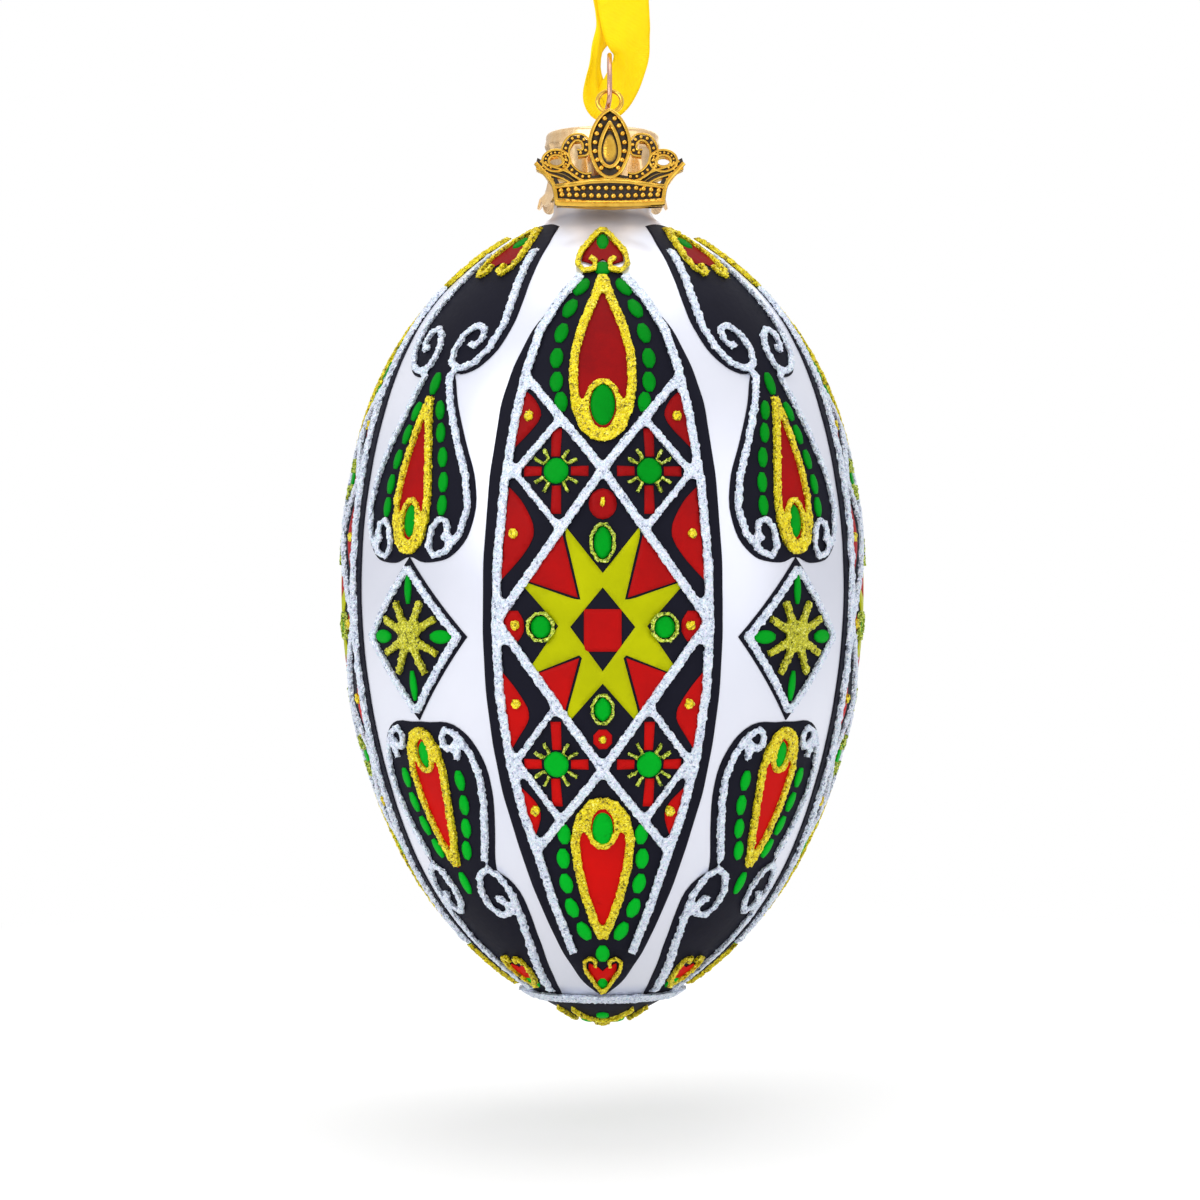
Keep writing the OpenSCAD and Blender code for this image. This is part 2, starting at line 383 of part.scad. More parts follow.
module scroll_green() color([0.02, 0.60, 0.16]) daubs(dot_0, dot_1, concat(
  two([for (v = [[1.9, 19.4, 20], [2.7, 16.9, 15], [3.6, 14.2, 12], [4.2, 11.5, 5], [4.4, 9, 0],
    [4.3, -20.6, 0], [4, -23.3, -10], [3.3, -25.9, -15], [2.3, -28.4, -20]]) [v[0], v[1], oval(0, 0, 0.65, 1.15, 8, v[2])]]),
  two([[4.6, -5.1, oval(0, 0, 1.5, 0.75, 10)]]),
  [[0, 22.4, oval(0, 0, 0.75, 1.3)], [0, -32.2, oval(0, 0, 0.65, 1.3)], [0, 7.4, oval(0, 0, 0.95, 1.8, 10)], [0, -17.9, oval(0, 0, 0.85, 1.5, 10)],
    [0, 38.6, oval(0, 0, 1, 0.7)], [0, -43.9, oval(0, 0, 0.8, 0.6)], [0, 0, oval(0, 0, 0.5, 1.7)], [0, -10.4, oval(0, 0, 0.5, 1.75)]]), 45);
module scroll_white_lines() color([0.86, 0.89, 0.94]) painted(glit_0, glit_1, 45) {
  for (l = [bell_line, lobe_line, vase_line, tail_line]) both(stroke(l, 0.9));
  both(stroke([[0, 2.4], [7.2, -5.3]], 1)); both(stroke([[7.2, -4.9], [0, -13.4]], 1));
}
module scroll_gold_lines() color([0.87, 0.76, 0.07]) painted(glit_0, glit_1, 45) {
  loop_line(lobe_drop, 1); loop_line(vase_drop, 1);
  ring_line(0, 7.4, 1.35, 2.4, 0.8); ring_line(0, -17.9, 1.25, 1.95, 0.75);
  both(stroke([[0, 41], [1.4, 39.4], [2.4, 37.3], [2.5, 35.9], [1.8, 35.1], [0.9, 35.6], [1.1, 36.5]], 0.75));
  both(stroke([[0, -44.9], [1.1, -43.6], [1.6, -42.4], [1.4, -41.4], [0.7, -41.2], [0.5, -42]], 0.6));
  for (a = [25, 62, 118, 155, 205, 242, 298, 335]) polygon(ray(0, -5.1, a, 0, a%180 > 40 && a%180 < 140 ? (a < 180 ? 4.4 : 4.7) : 4.6, 1.1, 0.9));
  polygon(oval(0, -5.1, 1.7, 1.9));
}

// ---------- underside ----------
ring_low = -46.2; ring_w = 1;
module tip_coat(a, b, z0, z1) translate([0, 0, egg_z]) intersection() {
  coat(a, b);
  translate([0, 0, z0*u]) cylinder(r = 12*u, h = (z1 - z0)*u, $fn = 96);
}
module tip_mark(a, b) translate([0, 0, egg_z]) intersection() {
  coat(a, b);
  translate([0, 0, -60*u]) linear_extrude(60*u + (ring_low - ring_w/2 - 0.15)*u) scale([u, u]) children();
}
module tip_ground() color([0.11, 0.11, 0.15]) tip_coat(ground_0, ground_1, -60, ring_low - ring_w/2 + 0.1);
module tip_ring() color([0.86, 0.89, 0.94]) tip_coat(glit_0, glit_1, ring_low - ring_w/2, ring_low + ring_w/2);
module tip_green() color([0.02, 0.60, 0.16]) tip_mark(dot_0, dot_1) {
  for (k = [0:3]) rotate(90*k) polygon(oval(0, -4.4, 0.8, 0.7));
  for (k = [0:3]) rotate(45 + 90*k) polygon(oval(0, -2.6, 0.5, 0.9));
}
module tip_gold_lines() color([0.87, 0.76, 0.07]) tip_mark(glit_0, glit_1) {
  for (k = [0:3]) rotate(90*k) both(stroke([[0, -3], [1.6, -3.6], [3.1, -4.6], [3.6, -5.4]], 0.55));
  polygon(oval(0, 0, 1, 1, 12));
}

glass_egg();
cap();
hanger_wire();
crown_charm();
ribbon();
ribbon_knot();
panel_ground();
panel_red();
panel_star();
panel_green();
panel_white_lines();
panel_gold_lines();
scroll_ground();
scroll_red();
scroll_green();
scroll_white_lines();
scroll_gold_lines();
tip_ground();
tip_green();
tip_ring();
tip_gold_lines();
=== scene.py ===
"""Dresses a hanging pysanka egg: frosted glass painted with enamel and glitter, its cap, crown and ribbon."""
import math

import bmesh
import bpy
from mathutils import Matrix, Vector, noise


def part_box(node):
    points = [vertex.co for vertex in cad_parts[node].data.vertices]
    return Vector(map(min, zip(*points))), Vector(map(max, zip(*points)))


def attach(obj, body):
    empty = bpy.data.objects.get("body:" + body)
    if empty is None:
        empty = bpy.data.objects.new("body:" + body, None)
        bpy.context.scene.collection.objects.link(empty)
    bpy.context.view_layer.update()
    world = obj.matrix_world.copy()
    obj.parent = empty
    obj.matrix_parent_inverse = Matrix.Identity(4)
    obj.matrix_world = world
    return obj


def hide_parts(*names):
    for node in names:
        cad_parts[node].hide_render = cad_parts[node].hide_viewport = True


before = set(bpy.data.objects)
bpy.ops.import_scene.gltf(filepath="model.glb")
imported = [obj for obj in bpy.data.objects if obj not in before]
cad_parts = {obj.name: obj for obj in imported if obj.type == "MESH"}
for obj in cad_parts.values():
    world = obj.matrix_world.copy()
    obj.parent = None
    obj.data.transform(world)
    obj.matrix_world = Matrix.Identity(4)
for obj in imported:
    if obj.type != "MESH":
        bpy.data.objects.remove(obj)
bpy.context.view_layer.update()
MM = 0.001
egg_low, egg_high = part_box("glass_egg")
cap_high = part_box("cap")[1]

# ---------- Studio ----------
# The egg hangs just above a pale floor, in a white room. Large soft lamps stand in front at the left,
# at the right, above and behind. The camera looks straight at the middle of the egg and its ribbon.


class Socket:
    """An output of a shader node, which takes part in Python sums."""

    def __init__(self, finish, socket):
        self.finish, self.socket = finish, socket

    def math(self, operation, *values):
        return self.finish.node("Math", {"operation": operation}, dict(enumerate(values)))

    def __add__(self, other):
        return self.math("ADD", self, other)

    __radd__ = __add__

    def __mul__(self, other):
        return self.math("MULTIPLY", self, other)

    __rmul__ = __mul__

    def __sub__(self, other):
        return self.math("SUBTRACT", self, other)

    def __rsub__(self, other):
        return self.math("SUBTRACT", other, self)

    def __gt__(self, other):
        return self.math("GREATER_THAN", self, other)

    def clipped(self):
        return self.math("MINIMUM", self.math("MAXIMUM", self, 0), 1)


class Finish:
    """A material: node() adds any node, and surface() sets sockets of its Principled shader."""

    def __init__(self, name):
        self.material = bpy.data.materials.new(name)
        self.material.use_nodes = True
        self.tree = self.material.node_tree
        self.shader = self.tree.nodes["Principled BSDF"]
        self.place = self.node("TexCoord", out="Object")

    def feed(self, socket, value):
        if isinstance(value, Socket):
            self.tree.links.new(value.socket, socket)
        else:
            socket.default_value = value

    def node(self, kind, settings=None, inputs=None, out=0):
        made = self.tree.nodes.new("ShaderNode" + kind)
        for name, value in (settings or {}).items():
            if name == "stops":
                stops = made.color_ramp.elements
                for at, colour in value[:-1]:
                    stops.new(at).color = colour
                stops.remove(stops[0])
                stops[-1].position, stops[-1].color = value[-1]
            elif name == "steps":
                made.color_ramp.interpolation = value
            else:
                setattr(made, name, value)
        for name, value in (inputs or {}).items():
            self.feed(made.inputs[name], value)
        return Socket(self, made.outputs[out])

    def blend(self, share, first, second):
        return self.node("Mix", {"data_type": "RGBA"}, {0: share, 6: first, 7: second}, out=2)

    def grain(self, size, detail=2.0, place=None, roughness=0.5):
        """Soft noise from 0 to 1, whose lumps are about size across."""
        return self.node("TexNoise", None, {"Vector": place or self.place, "Scale": 1 / size, "Detail": detail,
                                            "Roughness": roughness})

    def bump(self, height, depth, strength=1.0):
        return self.node("Bump", None, {"Height": height, "Distance": depth, "Strength": strength}, out="Normal")

    def surface(self, **values):
        for name, value in values.items():
            self.feed(self.shader.inputs[name.replace("_", " ")], value)
        return self.material


def paint(red, green, blue):
    """A colour named by its usual 0 to 255 values."""
    linear = [(c / 255 / 12.92) if c <= 10 else ((c / 255 + 0.055) / 1.055) ** 2.4 for c in (red, green, blue)]
    return (*linear, 1.0)


floor_drop = 11.3 * MM          # from the egg's tip down to the floor
floor_reach = 4                 # the floor's radius, in metres
fade_start, fade_run = 0.1, 1 / 7       # how far out the floor turns plain white, in metres
camera_distance = 370 * MM
camera_rise = 48.1 * MM         # the camera's height above the egg's tip
camera_x = -0.29 * MM
frame_width = 137.76 * MM       # what the square picture spans at the egg's axis

camera = bpy.data.objects.new("camera", bpy.data.cameras.new("camera"))
bpy.context.scene.collection.objects.link(camera)
camera.location = (camera_x, -camera_distance, egg_low.z + camera_rise)
camera.rotation_euler = (math.radians(90), 0, 0)
camera.data.sensor_width = 36
camera.data.lens = 36 * camera_distance / frame_width
camera.data.clip_start = 0.01
bpy.context.scene.camera = camera
bpy.context.scene.view_settings.view_transform = "Standard"

middle = Vector((0, 0, (egg_low.z + egg_high.z) / 2))
# name, place from the egg's middle, size across and power
for name, place, size, power in (("key", (-0.42, -0.5, 0.34), 0.5, 1.9), ("fill", (0.6, -0.42, 0.05), 0.6, 1.1),
                                 ("top", (0.05, 0.12, 0.75), 0.6, 1.7), ("back", (0.1, 0.7, 0.2), 0.5, 0.8)):
    lamp = bpy.data.objects.new(name, bpy.data.lights.new(name, "AREA"))
    bpy.context.scene.collection.objects.link(lamp)
    lamp.data.size, lamp.data.energy = size, power
    lamp.location = middle + Vector(place)
    lamp.rotation_euler = (-Vector(place)).to_track_quat("-Z", "Y").to_euler()


def seen_as_white(tree, plain, white):
    """Mixes from a plain shader to a white one for what the camera sees."""
    rays = tree.nodes.new("ShaderNodeLightPath")
    mix = tree.nodes.new("ShaderNodeMixShader")
    tree.links.new(rays.outputs["Is Camera Ray"], mix.inputs[0])
    tree.links.new(plain, mix.inputs[1])
    tree.links.new(white, mix.inputs[2])
    return mix.outputs[0]


world = bpy.data.worlds.new("white_room")
bpy.context.scene.world = world
world.use_nodes = True
sky = world.node_tree.nodes["Background"]
# the room is bright above and dim near the horizon, which gives the metals their dark streaks
way = world.node_tree.nodes.new("ShaderNodeTexCoord")
apart = world.node_tree.nodes.new("ShaderNodeSeparateXYZ")
ramp = world.node_tree.nodes.new("ShaderNodeValToRGB")
world.node_tree.links.new(way.outputs["Generated"], apart.inputs[0])
world.node_tree.links.new(apart.outputs["Z"], ramp.inputs[0])
world.node_tree.links.new(ramp.outputs[0], sky.inputs["Color"])
stops = ramp.color_ramp.elements
stops[0].position, stops[0].color = 0.0, (0.3, 0.3, 0.32, 1)
stops[1].position, stops[1].color = 0.5, (1, 1, 1, 1)
stops.new(0.1).color = (0.75, 0.75, 0.77, 1)
sky.inputs["Strength"].default_value = 0.85
white_sky = world.node_tree.nodes.new("ShaderNodeBackground")
white_sky.inputs["Color"].default_value = (1, 1, 1, 1)
white_sky.inputs["Strength"].default_value = 1.0
world.node_tree.links.new(seen_as_white(world.node_tree, sky.outputs[0], white_sky.outputs[0]),
                          world.node_tree.nodes["World Output"].inputs["Surface"])

bpy.ops.object.select_all(action="DESELECT")
bpy.ops.mesh.primitive_circle_add(vertices=96, radius=floor_reach, fill_type="NGON",
                                  location=(0, 0, egg_low.z - floor_drop))
floor = bpy.context.object
floor.name = "floor"
pale = Finish("pale_floor")
pale.surface(Base_Color=(0.82, 0.82, 0.82, 1), Roughness=0.9)
glow = pale.node("Emission", None, {"Strength": 0.13})
lit = pale.tree.nodes.new("ShaderNodeAddShader")
pale.tree.links.new(pale.shader.outputs[0], lit.inputs[0])
pale.tree.links.new(glow.socket, lit.inputs[1])
away = pale.node("VectorMath", {"operation": "LENGTH"}, {0: pale.place}, out="Value")
faded = pale.node("MixShader", None, {
    0: ((away - fade_start) * (1 / fade_run)).clipped(), 1: Socket(pale, lit.outputs[0]),
    2: pale.node("Emission", None, {"Strength": 1.0})})
pale.tree.links.new(seen_as_white(pale.tree, pale.shader.outputs[0], faded.socket),
                    pale.tree.nodes["Material Output"].inputs["Surface"])
floor.data.materials.append(pale.material)


# ---------- Ribbon and its knot ----------
# One length of 6 mm satin ribbon, doubled. It goes down from the knot, bunches under the eye of the wire and
# comes up again, and its two ends are tied in an overhand knot and cut to swallow tails.
ribbon_width = 6 * MM
ribbon_thick = 0.2 * MM
loop_top = -19.1                # height of the wire's eye, in millimetres
# x, y, height above the eye, turn of the width in degrees, share of the full width, curl
ribbon_route = [
    (-0.2, 0.5, 22.18, 0, 0.55, 0.5), (0.4, 1, 19.6, 0, 0.8, 0.5), (1.2, 1.4, 15.6, -5, 0.95, 0.35),
    (1.5, 1.5, 11.1, -8, 0.95, 0.3), (1.4, 1.5, 7, -14, 0.88, 0.3), (0.6, 1.2, 3.8, -38, 0.6, 0.35),
    (-0.3, 0.6, 1.4, -64, 0.42, 0.35), (-0.75, 0.2, -0.8, -64, 0.4, 0.3), (-0.9, 0.1, -2.8, -32, 0.42, 0.25),
    (-0.75, 0.1, -4.8, -8, 0.5, 0.2), (0.1, 0, -5.8, 0, 0.58, 0.12), (1.2, 0, -4.9, 0, 0.68, 0.1),
    (2.2, 0, -3.2, 0, 0.7, 0.1), (2.95, 0, -1.5, 0, 0.66, 0.15), (3.3, -0.15, 0.3, -4, 0.7, 0.25),
    (2.8, -0.5, 2.6, -8, 0.9, 0.3), (2.3, -0.7, 6.6, -10, 1, 0.3), (2.25, -0.7, 11.1, -12, 1, 0.25),
    (2.1, -0.6, 15.1, -12, 0.95, 0.35), (1.5, -0.5, 19.3, -10, 0.8, 0.5), (0.8, -0.4, 22.18, -10, 0.55, 0.5)]


def through(points, steps):
    """A smooth line through points, with so many steps between each pair."""
    points = [Vector(p) for p in points]
    line = []
    for i in range(len(points) - 1):
        a, b, c, d = (points[min(max(i + k, 0), len(points) - 1)] for k in (-1, 0, 1, 2))
        for t in (j / steps for j in range(steps)):
            line.append(0.5 * (2 * b + (c - a) * t + (2 * a - 5 * b + 4 * c - d) * t * t
                               + (3 * b - a - 3 * c + d) * t ** 3))
    return line + [points[-1]]


def satin_strip(name, route, material, steps=6, across=14, puckers=0.0, notch=0.0):
    """A closed thin strip along route, whose UV map runs across the width and along the length."""
    mesh = bpy.data.meshes.new(name)
    piece = bpy.data.objects.new(name, mesh)
    bpy.context.scene.collection.objects.link(piece)
    line = through([p[:3] for p in route], steps)
    shape = through([p[3:] for p in route], steps)
    made = bmesh.new()
    uv = made.loops.layers.uv.new("weave")
    run, rings, at = 0, [], {}
    for i, (p, (turn, share, curl)) in enumerate(zip(line, shape)):
        along = (line[min(i + 1, len(line) - 1)] - line[max(i - 1, 0)]).normalized()
        flat = Vector((0, 1, 0)).cross(along).normalized()
        deep = along.cross(flat)
        turn = math.radians(turn)
        wide = flat * math.cos(turn) + deep * math.sin(turn)
        thick = deep * math.cos(turn) - flat * math.sin(turn)
        run += (p - line[i - 1]).length if i else 0
        ring = []
        for side in (1, -1):
            for k in range(across + 1):
                s = side * (1 - 2 * k / across)
                fold = curl * (0.6 * s * s - 0.25)
                fold += puckers * (1 - share) * math.sin(7 * s + 0.9 * run) * 0.3
                cut = notch * (1 - abs(s)) if i == len(line) - 1 else 0
                vert = made.verts.new((p + wide * (ribbon_width / MM / 2 * share * s) - along * cut
                                       + thick * (fold + side * ribbon_thick / MM / 2)) * MM)
                at[vert] = (s / 2 + 0.5, run / 6)
                ring.append(vert)
        rings.append(ring)
    n = len(rings[0])
    for a, b in zip(rings, rings[1:]):
        for k in range(n):
            made.faces.new((a[k], a[(k + 1) % n], b[(k + 1) % n], b[k]))
    made.faces.new(rings[0][::-1])
    made.faces.new(rings[-1])
    for face in made.faces:
        for loop in face.loops:
            loop[uv].uv = at[loop.vert]
    bmesh.ops.triangulate(made, faces=[f for f in made.faces if len(f.verts) > 4])
    bmesh.ops.recalc_face_normals(made, faces=made.faces)
    made.to_mesh(mesh)
    made.free()
    mesh.shade_smooth()
    mesh.materials.append(material)
    return piece, line


satin = Finish("yellow_satin")
weave = satin.node("UVMap", {"uv_map": "weave"})
apart = satin.node("SeparateXYZ", None, {0: weave})
across_it, along_it = apart, Socket(satin, apart.socket.node.outputs[1])
ribs = (along_it * 260).math("SINE", along_it * 260)
warp = (across_it * 300).math("SINE", across_it * 300)
edge = (across_it - 0.5).math("ABSOLUTE", across_it - 0.5) > 0.455
slub = satin.grain(0.9 * MM, 3)
sheen_band = satin.grain(3.5 * MM, 1)
# The ribbon's colour is lighter in broad bands, a painted sheen, and it glows faintly yellow, a painted light that
# makes it brighter than the lamps alone.
satin.surface(
    Base_Color=satin.blend((slub * 0.5 + sheen_band * 0.5).clipped(), paint(255, 206, 0), paint(255, 232, 0)),
    Roughness=(0.42 + slub * 0.16 + edge * 0.12).clipped(),
    Normal=satin.bump(ribs * 0.5 + warp * 0.22 + edge * 1.5 + slub * 0.8, 0.03 * MM),
    Specular_IOR_Level=0.2, Emission_Color=paint(255, 206, 0), Emission_Strength=0.16)

ribbon, ribbon_line = satin_strip("satin_ribbon", [(x, y, z + loop_top, *rest) for x, y, z, *rest in ribbon_route],
                                  satin.material, puckers=1.0)
ribbon_length = sum((b - a).length for a, b in zip(ribbon_line, ribbon_line[1:])) * MM
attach(ribbon, "ribbon_body")
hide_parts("ribbon")

knot_middle = 6.2               # height of the knot, in millimetres
knot_radius = 3.1
knot_parts = []
for k in (-1, 1):
    tail, _ = satin_strip(f"tail_{k}", [(0.2 + k * 0.4, -0.2 * k, 7.4, 8 * k, 0.4, 0.8),
                                        (0.2 + k * 1.4, -0.2 * k, 9, 10 * k, 0.5, 0.6),
                                        (0.2 + k * 2.6, 0, 11.4, 6 * k, 0.72, 0.4),
                                        (0.2 + k * 3.7, 0, 13.8, 0, 0.84, 0.2),
                                        (0.2 + k * 4.1, 0, 15.4, 0, 0.84, 0.1)], satin.material, notch=1.1)
    knot_parts.append(tail)
# the crossing turns of the knot, each a band laid round the one before
for i, (tilt, lean, major) in enumerate(((18, 82, 2.1), (-32, 16, 1.9), (38, 104, 1.7))):
    bpy.ops.object.select_all(action="DESELECT")
    bpy.ops.mesh.primitive_torus_add(major_segments=56, minor_segments=20, major_radius=major * MM,
                                     minor_radius=1.0 * MM, location=(0.2 * MM, 0, knot_middle * MM),
                                     rotation=(math.radians(lean), math.radians(tilt), 0))
    turn = bpy.context.object
    turn.scale = (0.98, 0.86, 1.3)
    bpy.ops.object.transform_apply(location=True, rotation=True, scale=True)
    for vert in turn.data.vertices:
        off = vert.co - Vector((0.2, 0, knot_middle)) * MM
        pleat = 1 + 0.05 * math.sin(off.z / MM * 6 + 3 * i) * math.cos(math.atan2(off.y, off.x) * 2 + i)
        vert.co = Vector((0.2, 0, knot_middle)) * MM + off * min(pleat, knot_radius * MM / max(off.length, 1e-6))
    turn.data.shade_smooth()
    turn.data.materials.append(satin.material)
    knot_parts.append(turn)
bpy.ops.object.select_all(action="DESELECT")
for part in knot_parts:
    part.select_set(True)
bpy.context.view_layer.objects.active = knot_parts[-1]
bpy.ops.object.join()
knot = bpy.context.object
bpy.ops.object.transform_apply(location=True, rotation=True, scale=True)
knot.name = "tied_knot"
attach(knot, "ribbon_body")
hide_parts("ribbon_knot")
[tuple(p * MM) for p in ribbon_line]


# ---------- Wire hanger ----------
# One drawn wire of rose gold colour, bent to a leaf-shaped loop. Both legs go through the cap's top and spring
# outwards inside the neck, which is all that holds the egg.
wire_width = 0.56
cap_top = cap_high.z / MM
loop_lean = 0.8                 # how far the loop leans to the right of the cap's middle
wire_route = [(loop_lean * min(1, max(0, z / 3)), y, cap_top + z) for y, z in (
    (-3.8, -15), (-4.2, -12), (-4.2, -7), (-3.6, -4), (-2.9, -2), (-2.5, -0.9), (-2.5, 0.2), (-3, 0.75), (-3.9, 1.15),
    (-5, 1.75), (-5.85, 2.5), (-6.15, 3.4), (-6, 4.3), (-5.4, 5.7), (-4.35, 7.1), (-3, 8.15), (-1.5, 8.75), (0, 8.9),
    (1.5, 8.75), (2.9, 8.1), (4, 7), (4.7, 5.6), (4.8, 4.2), (4.4, 2.9), (3.6, 1.9), (2.8, 1), (2.5, 0.2), (2.5, -0.9),
    (2.9, -2), (3.6, -4), (4.2, -7), (4.2, -12), (3.6, -15))]


def round_wire(name, points, width, material, closed=False, sides=4):
    """A round bar of that width along points, in millimetres, with flat filled ends."""
    curve = bpy.data.curves.new(name, "CURVE")
    curve.dimensions = "3D"
    line = curve.splines.new("POLY")
    line.points.add(len(points) - 1)
    for point, place in zip(line.points, points):
        point.co = (*(Vector(place) * MM), 1)
    line.use_cyclic_u = closed
    curve.bevel_depth, curve.bevel_resolution, curve.use_fill_caps = width / 2 * MM, sides, True
    piece = bpy.data.objects.new(name, curve)
    bpy.context.scene.collection.objects.link(piece)
    bpy.ops.object.select_all(action="DESELECT")
    piece.select_set(True)
    bpy.context.view_layer.objects.active = piece
    bpy.ops.object.convert(target="MESH")
    piece = bpy.context.object
    piece.data.materials.clear()
    piece.data.materials.append(material)
    piece.data.shade_smooth()
    return piece


drawn = Finish("rose_wire")
scratches = drawn.grain(0.25 * MM, 3)
drawn.surface(Base_Color=drawn.blend(drawn.grain(1.2 * MM), paint(196, 146, 128), paint(226, 178, 158)), Metallic=1.0,
              Roughness=(0.16 + scratches * 0.16).clipped(), Normal=drawn.bump(scratches, 0.01 * MM))
wire = round_wire("wire_hanger", through(wire_route, 6), wire_width, drawn.material)
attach(wire, "hanger")
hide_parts("hanger_wire")


# ---------- Cap ----------
# A thin stamped cap, plated rose gold. Its top is domed at the rim, its side is pressed into arched flutes
# between two beads, and its hem flares into petals that lie on the shoulder of the egg.
cap_radius = 6.5
cap_sheet = 0.3
cap_height = 8.7
hem_start = 6.5                 # depth of the hem's upper edge below the top
hem_drop = cap_height - hem_start
hem_flare = 0.9
flute_depth = 0.32
bead_depths, bead_rise = (1.55, 6.45), 0.2
wire_offset, wire_hole = 2.5, 0.46      # the holes' distance from the middle and their radius
petal_count = 12
steps_round = 240


def cap_profile():
    """Radius and depth below the top, from the middle out and down to the hem."""
    rim = [(cap_radius - 0.6 + 0.6 * math.sin(math.radians(a)), 0.6 - 0.6 * math.cos(math.radians(a)))
           for a in range(0, 91, 15)]
    side = [(cap_radius, 0.6 + 0.35 * k) for k in range(1, 17)]
    hem = [(cap_radius + hem_flare * (k / 8) ** 1.5, hem_start + hem_drop * k / 8) for k in range(1, 9)]
    return [(r, 0) for r in (0.6, 1.6, 3, 4.2, 5.2)] + rim + side + hem


bpy.ops.object.select_all(action="DESELECT")
profile = cap_profile()
bpy.ops.mesh.primitive_circle_add(vertices=steps_round, radius=profile[0][0] * MM, fill_type="NOTHING",
                                  location=(0, 0, cap_high.z))
cap = bpy.context.object
cap.name = "stamped_cap"
bpy.ops.object.mode_set(mode="EDIT")
bpy.ops.mesh.select_mode(type="EDGE")
bpy.ops.mesh.select_all(action="SELECT")
for (radius, depth), (wider, deeper) in zip(profile, profile[1:]):
    bpy.ops.mesh.extrude_region_move(TRANSFORM_OT_translate={"value": (0, 0, (depth - deeper) * MM)})
    bpy.ops.transform.resize(value=(wider / radius, wider / radius, 1), center_override=(0, 0, 0))
bpy.ops.object.mode_set(mode="OBJECT")
bpy.ops.object.transform_apply(location=True, rotation=True, scale=True)
holes = [Vector((0, s * wire_offset)) for s in (-1, 1)]
for vert in cap.data.vertices:
    x, y, depth = vert.co.x / MM, vert.co.y / MM, (cap_high.z - vert.co.z) / MM
    radius, angle = math.hypot(x, y), math.atan2(y, x)
    petal = 0.5 + 0.5 * math.cos(angle * petal_count)
    grow, drop = 0, 0
    if 1.5 < depth < 6.3:               # arched flutes on the side
        arch = max(0, 1 - ((depth - 6.3) / 4.2) ** 2 * (1.6 - petal))
        grow -= flute_depth * petal ** 0.7 * arch
    for bead in bead_depths:            # the two beads
        grow += bead_rise * math.exp(-((depth - bead) / 0.28) ** 2)
    if depth > hem_start:               # the petals of the hem
        share = (depth - hem_start) / hem_drop
        drop += (1 - petal) ** 1.5 * share
        grow += 0.1 * share * petal
    wobble = 0.05 * noise.noise(Vector((x, y, depth)) * 0.8)
    grow += wobble if depth > 0.3 else 0
    if radius > 1e-6 and depth > 0.1:
        vert.co.x, vert.co.y = (c * (radius + grow) / radius * MM for c in (x, y))
    vert.co.z += drop * MM
shell = bmesh.new()
shell.from_mesh(cap.data)
bmesh.ops.holes_fill(shell, edges=[e for e in shell.edges if e.is_boundary
                                   and e.verts[0].co.xy.length < profile[0][0] * MM * 1.01])
bmesh.ops.recalc_face_normals(shell, faces=shell.faces)
if max(shell.faces, key=lambda f: f.calc_center_median().z).normal.z < 0:
    bmesh.ops.reverse_faces(shell, faces=shell.faces)
shell.to_mesh(cap.data)
shell.free()
wall = cap.modifiers.new("sheet", "SOLIDIFY")
wall.thickness, wall.offset = cap_sheet * MM, -1
bpy.context.view_layer.objects.active = cap
bpy.ops.object.modifier_apply(modifier="sheet")
for hole in holes:                      # the two holes for the wire
    bpy.ops.object.select_all(action="DESELECT")
    bpy.ops.mesh.primitive_cylinder_add(vertices=40, radius=wire_hole * MM, depth=2 * MM,
                                        location=(*(hole * MM), cap_high.z))
    drill = bpy.context.object
    cut = cap.modifiers.new("hole", "BOOLEAN")
    cut.operation, cut.object, cut.solver = "DIFFERENCE", drill, "EXACT"
    bpy.context.view_layer.objects.active = cap
    bpy.ops.object.modifier_apply(modifier="hole")
    bpy.data.objects.remove(drill)
bpy.ops.object.select_all(action="DESELECT")
cap.select_set(True)
bpy.context.view_layer.objects.active = cap
bpy.ops.object.shade_smooth_by_angle(angle=math.radians(38))

plated = Finish("rose_gold")
rubbed = plated.grain(0.7 * MM, 4)
streak_place = plated.node("Mapping", None, {"Vector": plated.place, "Scale": (1, 1, 0.12)})
streaks = plated.grain(0.5 * MM, 3, streak_place)
plated.surface(Base_Color=plated.blend((rubbed * 0.5 + streaks * 0.9 - 0.2).clipped(), paint(232, 178, 120),
                                       paint(255, 232, 186)), Metallic=1.0,
               Roughness=(0.14 + streaks * 0.14 + rubbed * 0.1).clipped(),
               Normal=plated.bump(streaks * 0.6 + rubbed * 0.4, 0.04 * MM))
cap.data.materials.clear()
cap.data.materials.append(plated.material)
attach(cap, "hanger")
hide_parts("cap")


# ---------- Crown charm ----------
# A cast charm in antique gold, hung by its own ring. Polished rims and rows of beads stand out of recesses that
# are filled with black patina. The drawing is in the plane of the plate, in millimetres from the ring's middle.
crown_lean = math.radians(19.5)
ring_middle = Vector((loop_lean, -5.95, cap_top + 2.75))
plate_face = 0.4
marquise = [(0, -1.3), (0.9, -2), (1.7, -3.3), (2.2, -5), (2.2, -6.4), (1.8, -7.8), (1.1, -9.2), (0, -9.8)]
drop_hole = [(0, -2.9), (0.7, -4.4), (1.1, -6), (1.05, -7.3), (0.6, -8.2), (0, -8.5)]
curl = [(2.0, -9.6), (2.9, -9.7), (4.1, -9), (4.9, -7.6), (4.9, -6), (4.2, -4.9), (3.2, -4.8), (2.6, -5.6), (2.8, -6.6),
        (3.6, -6.7)]
arm = [(3.0, -11), (4.8, -9.6), (6.6, -8.9), (8, -8.2)]
crown_place = Matrix.Translation(ring_middle * MM) @ Matrix.Rotation(math.radians(90) - crown_lean, 4, "X")
crown_parts = []


